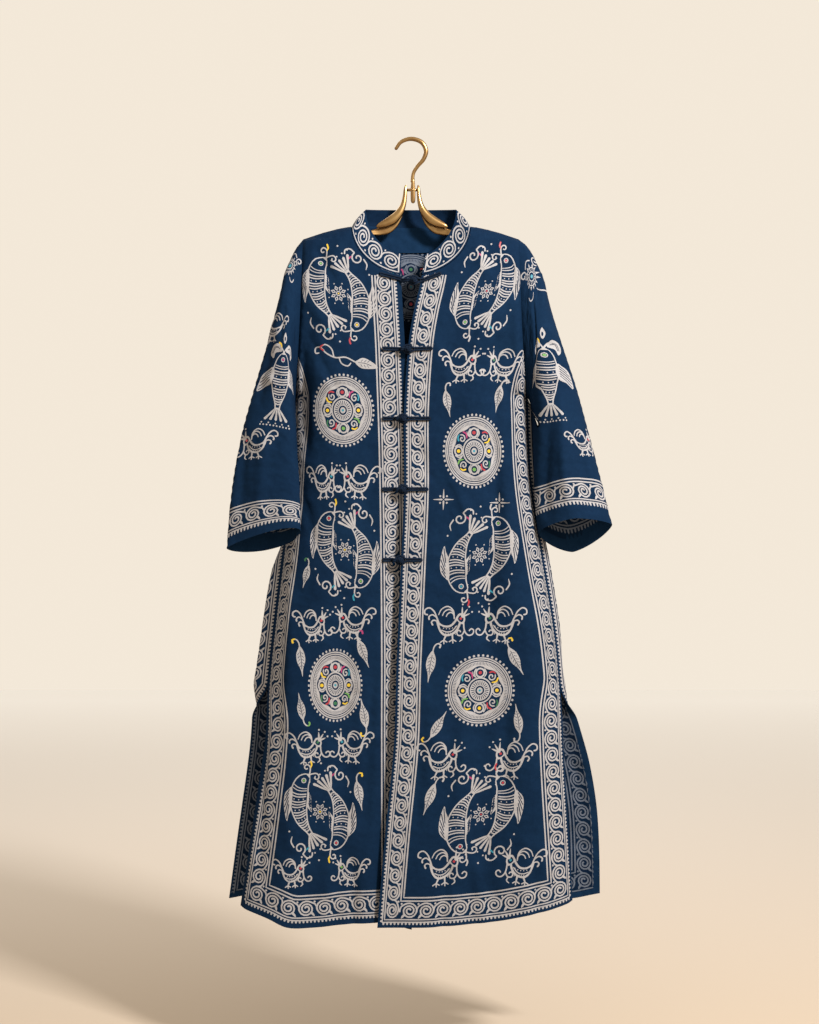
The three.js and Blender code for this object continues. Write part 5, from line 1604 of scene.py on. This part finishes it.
def make_sleeve(side, materials):
    sleeve = Sleeve(side)
    sleeve.crease(SLEEVE_CREASES[side])
    drawing = Print()
    steps = sleeve.shares
    half_round, top, end = steps[1:], np.zeros(len(steps) - 1), np.ones(len(steps) - 1)
    fore_seam, aft_seam = (sleeve.flat(np.full(len(steps), half), steps) for half in (1.0, -1.0))
    fore_cuff, aft_cuff = sleeve.flat(half_round, end)[::-1], sleeve.flat(-half_round, end)
    fore_arm, aft_arm = sleeve.flat(half_round, top), sleeve.flat(-half_round, top)[::-1]
    axis_low, axis_high = sleeve.flat(np.zeros(2), np.array([1.0, 0.0]))
    outline = np.vstack([fore_seam, fore_cuff[1:], [axis_low], aft_cuff, aft_seam[::-1][1:], aft_arm[1:],
                         [axis_high], fore_arm[:-1]])
    draw_motifs(drawing, sleeve, SLEEVE_MOTIFS[side], side, side)
    border(drawing, [np.vstack([fore_cuff[::4], [axis_low]]), np.vstack([[axis_low], aft_cuff[3::4]])], 1,
           CUFF_PLAIN[side], bead=CUFF_BEAD, corners=False)

    def turned(middles):
        return (1 - sleeve.find(middles)[1]) * SLEEVE_LENGTH < TURNED["cuff"]

    name = "sleeve_left" if side == LEFT else "sleeve_right"
    piece = sew(name + "_cloth", sleeve, outline, drawing, CLOTH, materials, (), turned)
    dress(piece, name)


def make_collar(fronts, materials):
    collar = Collar(fronts)
    drawing = Print()
    length, form = collar.far[-1], COLLAR_PRINT
    middle = np.array([(s, COLLAR_HEIGHT * form["middle"]) for s in along(0, length)])
    track = Track(drawing, middle, 1, form["size"])
    track.whorls(thorn=False, dots=(-1, 1), pitch=form["pitch"], size=form["size"])
    low, far = form["margin"], length - form["margin"]
    heights = (10, 20, 30, COLLAR_HEIGHT - form["top_margin"])
    drawing.line([(low, h) for h in heights[::-1]] + [(low, low)]
                 + [(s, low) for s in along(low + 5, length - low - 5)]
                 + [(far, low)] + [(far, h) for h in heights], form["line"])
    outline = np.vstack([[(s, 0) for s in along(0, length, 4)],
                         [(length, h) for h in along(0, COLLAR_HEIGHT)[1:]],
                         [(s, COLLAR_HEIGHT) for s in along(length, 0, 4)[1:]],
                         [(0, h) for h in along(COLLAR_HEIGHT, 0)[1:-1]]])

    def turned(middles):
        return np.ones(len(middles), bool)

    plain = dict(materials, hem=materials["indigo_reverse_shaded"])
    piece = sew("collar_cloth", collar, outline, drawing, COLLAR_CLOTH, plain, (), turned)
    dress(piece, "collar")


# -------- frogs and hanger


def add_mesh(name, bm, material):
    """A smooth rigid piece of the jacket's one body."""
    mesh = bpy.data.meshes.new(name)
    for face in bm.faces:
        face.smooth = True
    bm.normal_update()
    bm.to_mesh(mesh)
    bm.free()
    mesh.materials.append(material)
    piece = bpy.data.objects.new(name, mesh)
    bpy.context.scene.collection.objects.link(piece)
    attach(piece, "root")
    return piece


def tube(bm, path, radius, closed=False, sides=10):
    """A round cord or wire along a path. The radius is a number or one for each point."""
    path = np.array(path, float)
    radius = np.broadcast_to(radius, len(path))
    if closed:
        way = np.roll(path, -1, axis=0) - np.roll(path, 1, axis=0)
    else:
        way = np.gradient(path, axis=0)
    way /= np.linalg.norm(way, axis=1, keepdims=True)
    side = np.cross(way[0], (0, 1, 0.02))
    turns = np.arange(sides) / sides * 2 * math.pi
    rings = []
    for place, step, size in zip(path, way, radius):
        side = side - step * (side @ step)
        side /= np.linalg.norm(side)
        other = np.cross(step, side)
        ring = place + size * (np.outer(np.cos(turns), side) + np.outer(np.sin(turns), other))
        rings.append([bm.verts.new(p * MM) for p in ring])
    skin(bm, rings, closed)


def skin(bm, rings, closed=False):
    """Faces between rings of points, with caps at open ends."""
    pairs = list(zip(rings, rings[1:])) + ([(rings[-1], rings[0])] if closed else [])
    for first, second in pairs:
        for k in range(len(first)):
            j = (k + 1) % len(first)
            bm.faces.new((first[k], first[j], second[j], second[k]))
    if not closed:
        bm.faces.new(rings[0][::-1])
        bm.faces.new(rings[-1])


def knot_centre(front, drop, knot_x):
    """The middle of a frog's knot, before the edge of the left front."""
    share = front.share_at(max(knot_x, opening[LEFT](drop) + 0.5), drop)
    ground = front.place(np.array([share]), np.array([float(drop)]))[0]
    return np.array([knot_x, ground[1] - FROG_CLEAR - FROG_KNOT, -drop])


def lie(front, places, lift):
    """Points that lie on a front, at some x and drop, a height above the cloth."""
    flat = np.array([front.at(x, drop) for x, drop in places])
    points, normals = front.hang(flat)
    return points + normals * lift


def make_frog(number, fronts, material):
    """A frog: a cord doubled back on itself into a loop, and another that ends in a braided ball knot."""
    drop, rise, right_x, left_x, knot_x = FROGS[number - 1]
    centre = knot_centre(fronts[LEFT], drop, knot_x)
    radius = FROG_CORD / 2
    lift = FROG_CLEAR + radius - 0.2
    gap = radius + 0.15

    def strap(side, start, end):
        """The two runs of a strap and the bend at its far end, from the lower run's inner end."""
        steps = np.linspace(0, 1, 9)
        low = [(lerp(end, start, t), drop - rise * t + gap) for t in steps]
        bend = [(start - math.copysign(gap * math.sin(t), end - start), drop - rise + gap * math.cos(t))
                for t in np.linspace(0.5, 2.64, 4)]
        high = [(lerp(start, end, t), drop - rise * (1 - t) - gap) for t in steps]
        return lie(fronts[side], low + bend + high, lift)

    reach = FROG_KNOT + radius + 0.4
    runs = strap(LEFT, left_x, max(centre[0] + reach + 3, opening[LEFT](drop) + 3))
    turns = np.linspace(0.5, 2 * math.pi - 0.5, 18)
    deep = np.full(len(turns), FROG_KNOT - radius - 0.6)
    ring = np.stack([reach * np.cos(turns), deep, reach * 0.86 * np.sin(turns)], 1)
    bm = bmesh.new()
    tube(bm, through(np.vstack([runs[::-1][-1:], runs[1:], centre + ring]), 130), radius, True)
    loop = add_mesh(f"frog_{number}_loop_cord", bm, material)
    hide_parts(f"frog_{number}_loop")

    end = min(knot_x - 12, -opening[RIGHT](drop) - 5)
    runs = strap(RIGHT, right_x, end)
    inner = centre - (FROG_KNOT + FROG_CORD + 1.4, -1.0, 0)
    bm = bmesh.new()
    for run, height in ((runs[:11][::-1], -gap), (runs[11:], gap)):
        over = inner + (0, 0, height * 0.8)
        into = centre + (-1.5, 0, height * 0.5)
        tube(bm, through(np.vstack([run, over, into]), 44), radius)
    turns = np.linspace(0, 2 * math.pi, 150, endpoint=False)
    height = BRAID["height"] * np.sin(5 * turns)
    out = FROG_KNOT - BRAID["out"] + BRAID["wave"] * np.cos(5 * turns)
    flat = np.sqrt(1 - height * height)
    braid = np.stack([out * flat * np.cos(3 * turns), out * flat * np.sin(3 * turns), out * height], 1)
    tube(bm, centre + braid, BRAID["radius"], True, 8)
    bmesh.ops.create_uvsphere(bm, u_segments=16, v_segments=10, radius=(FROG_KNOT - BRAID["core"]) * MM,
                              matrix=Matrix.Translation(Vector(centre * MM)))
    knot = add_mesh(f"frog_{number}_knot_cord", bm, material)
    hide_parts(f"frog_{number}_knot")


def make_hook(material):
    """The hook: a round wire that thins to its tip, bends, and widens into a blade with a rounded end."""
    bend = through([(x, 0, z) for x, z in HOOK], 90)
    far = lengths(bend)
    thick = table(HOOK_THICK)(far / far[-1])
    bm = bmesh.new()
    outward = (bend[0] - bend[1]) / np.linalg.norm(bend[1] - bend[0])
    tip = bend[0] + outward * np.array([[2.2], [1.6], [0.7]])
    tube(bm, np.vstack([tip, bend]), np.concatenate([[0.9, 1.9, 2.5], thick]), sides=16)
    rings = []
    turns = np.arange(20) / 20 * 2 * math.pi
    for drop, half, deep in BLADE:
        cosine = np.cos(turns)
        x = BLADE_X + half * np.sign(cosine) * np.abs(cosine) ** 0.8
        ring = np.stack([x, deep * np.sin(turns), np.full(len(turns), -drop)], 1)
        rings.append([bm.verts.new(p * MM) for p in ring])
    skin(bm, rings)
    tube(bm, [(x, STUD["y"], -STUD["drop"]) for x in STUD["x"]], STUD["radius"])
    head = Matrix.Translation(Vector((BLADE_X, STUD["head_y"], -STUD["drop"])) * MM)
    bmesh.ops.create_uvsphere(bm, u_segments=14, v_segments=8, radius=STUD["head_radius"] * MM,
                              matrix=head @ Matrix.Diagonal((1, 0.5, 1, 1)))
    bmesh.ops.recalc_face_normals(bm, faces=bm.faces)
    hook = add_mesh("hook", bm, material)
    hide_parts("hanger_hook")


def plate(bm, rows, sign, beaded):
    """A forged plate through rows of its lower and upper edge, its y, its bow and its half thickness."""
    at = np.arange(len(rows), dtype=float)
    columns = [smooth(at, [row[k] for row in rows]) for k in range(len(rows[0]))]
    shares = np.linspace(-1, 1, 9)
    rings = []
    for t in np.linspace(0, len(rows) - 1, 8 * len(rows)):
        low_x, low_drop, high_x, high_drop, y, bow, half = (float(c(t)) for c in columns)
        part = (shares + 1) / 2
        x, drop = lerp(low_x, high_x, part), lerp(low_drop, high_drop, part)
        middle = y - bow * (1 - shares ** 2)
        swell = half * np.sqrt(1.02 - shares ** 4) + beaded * bell((shares + 0.86) / 0.16)
        front = np.stack([x, middle - swell, -drop], 1)
        behind = np.stack([x, middle + swell, -drop], 1)[::-1]
        ring = np.vstack([front, behind])
        ring[:, 0] = ring[:, 0] * sign + HANGER_X * (1 - sign)
        rings.append([bm.verts.new(p * MM) for p in ring])
    skin(bm, rings)


def make_arm(sign, material):
    """A hanger arm: a forged leaf in front and a longer arm behind it, whose lip shows below the leaf."""
    bm = bmesh.new()
    plate(bm, LEAF, sign, 0.9)
    plate(bm, ARM, sign, 1.1)
    bmesh.ops.recalc_face_normals(bm, faces=bm.faces)
    side = "left" if sign > 0 else "right"
    arm = add_mesh(f"arm_{side}", bm, material)
    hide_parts(f"hanger_arm_{side}")


# -------- camera, light and floor

def make_camera():
    data = bpy.data.cameras.new("camera")
    data.lens, data.sensor_width, data.sensor_fit = LENS, SENSOR, "AUTO"
    camera = bpy.data.objects.new("camera", data)
    camera.location = CAMERA_AT
    camera.rotation_euler = (math.pi / 2, 0, 0)
    bpy.context.scene.collection.objects.link(camera)
    bpy.context.scene.camera = camera


def area_light(name, at, size, power, colour):
    data = bpy.data.lights.new(name, "AREA")
    data.shape, data.size, data.energy, data.color = "SQUARE", size, power, colour
    light = bpy.data.objects.new(name, data)
    light.location = at
    light.rotation_euler = (Vector(LIT) - Vector(at)).to_track_quat("-Z", "Y").to_euler()
    bpy.context.scene.collection.objects.link(light)


def make_stage():
    world = bpy.data.worlds.new("studio")
    world.use_nodes = True
    world.node_tree.nodes["Background"].inputs["Color"].default_value = STUDIO
    world.node_tree.nodes["Background"].inputs["Strength"].default_value = 1.0
    bpy.context.scene.world = world
    for name, form in LIGHTS.items():
        area_light(name, *form)
    bm = bmesh.new()
    bmesh.ops.create_grid(bm, x_segments=8, y_segments=8, size=FLOOR["half"])
    bmesh.ops.translate(bm, verts=bm.verts, vec=(0, 0, FLOOR["z"]))
    mesh = bpy.data.meshes.new("floor")
    bm.to_mesh(mesh)
    bm.free()
    floor = bpy.data.objects.new("floor", mesh)
    bpy.context.scene.collection.objects.link(floor)
    finish = Finish("floor", 0.9)
    place = finish.node("TexCoord").outputs["Object"]
    # Painted shade: the floor is darker near the jacket, where the key light falls strongest, and pale far
    # away.
    away = finish.ramp(finish.node("SeparateXYZ", {0: place}).outputs["Y"], FLOOR["near"], FLOOR["far"])
    finish.link(finish.mix(away, *FLOOR["colours"]), "Base Color")
    mesh.materials.append(finish.material)
    bpy.context.scene.view_settings.view_transform = "Standard"


# -------- the jacket

make_camera()
make_stage()
finishes = cloth_materials()
fronts = {}
for side in (LEFT, RIGHT):
    fronts[side] = make_front(side, finishes)
back = make_back(finishes)
make_facing(back, finishes)
for side in (LEFT, RIGHT):
    make_sleeve(side, finishes)
make_collar(fronts, finishes)
cord = rolled_cord()
for number in range(1, len(FROGS) + 1):
    make_frog(number, fronts, cord)
brass = aged_brass()
make_hook(brass)
for sign in (1, -1):
    make_arm(sign, brass)
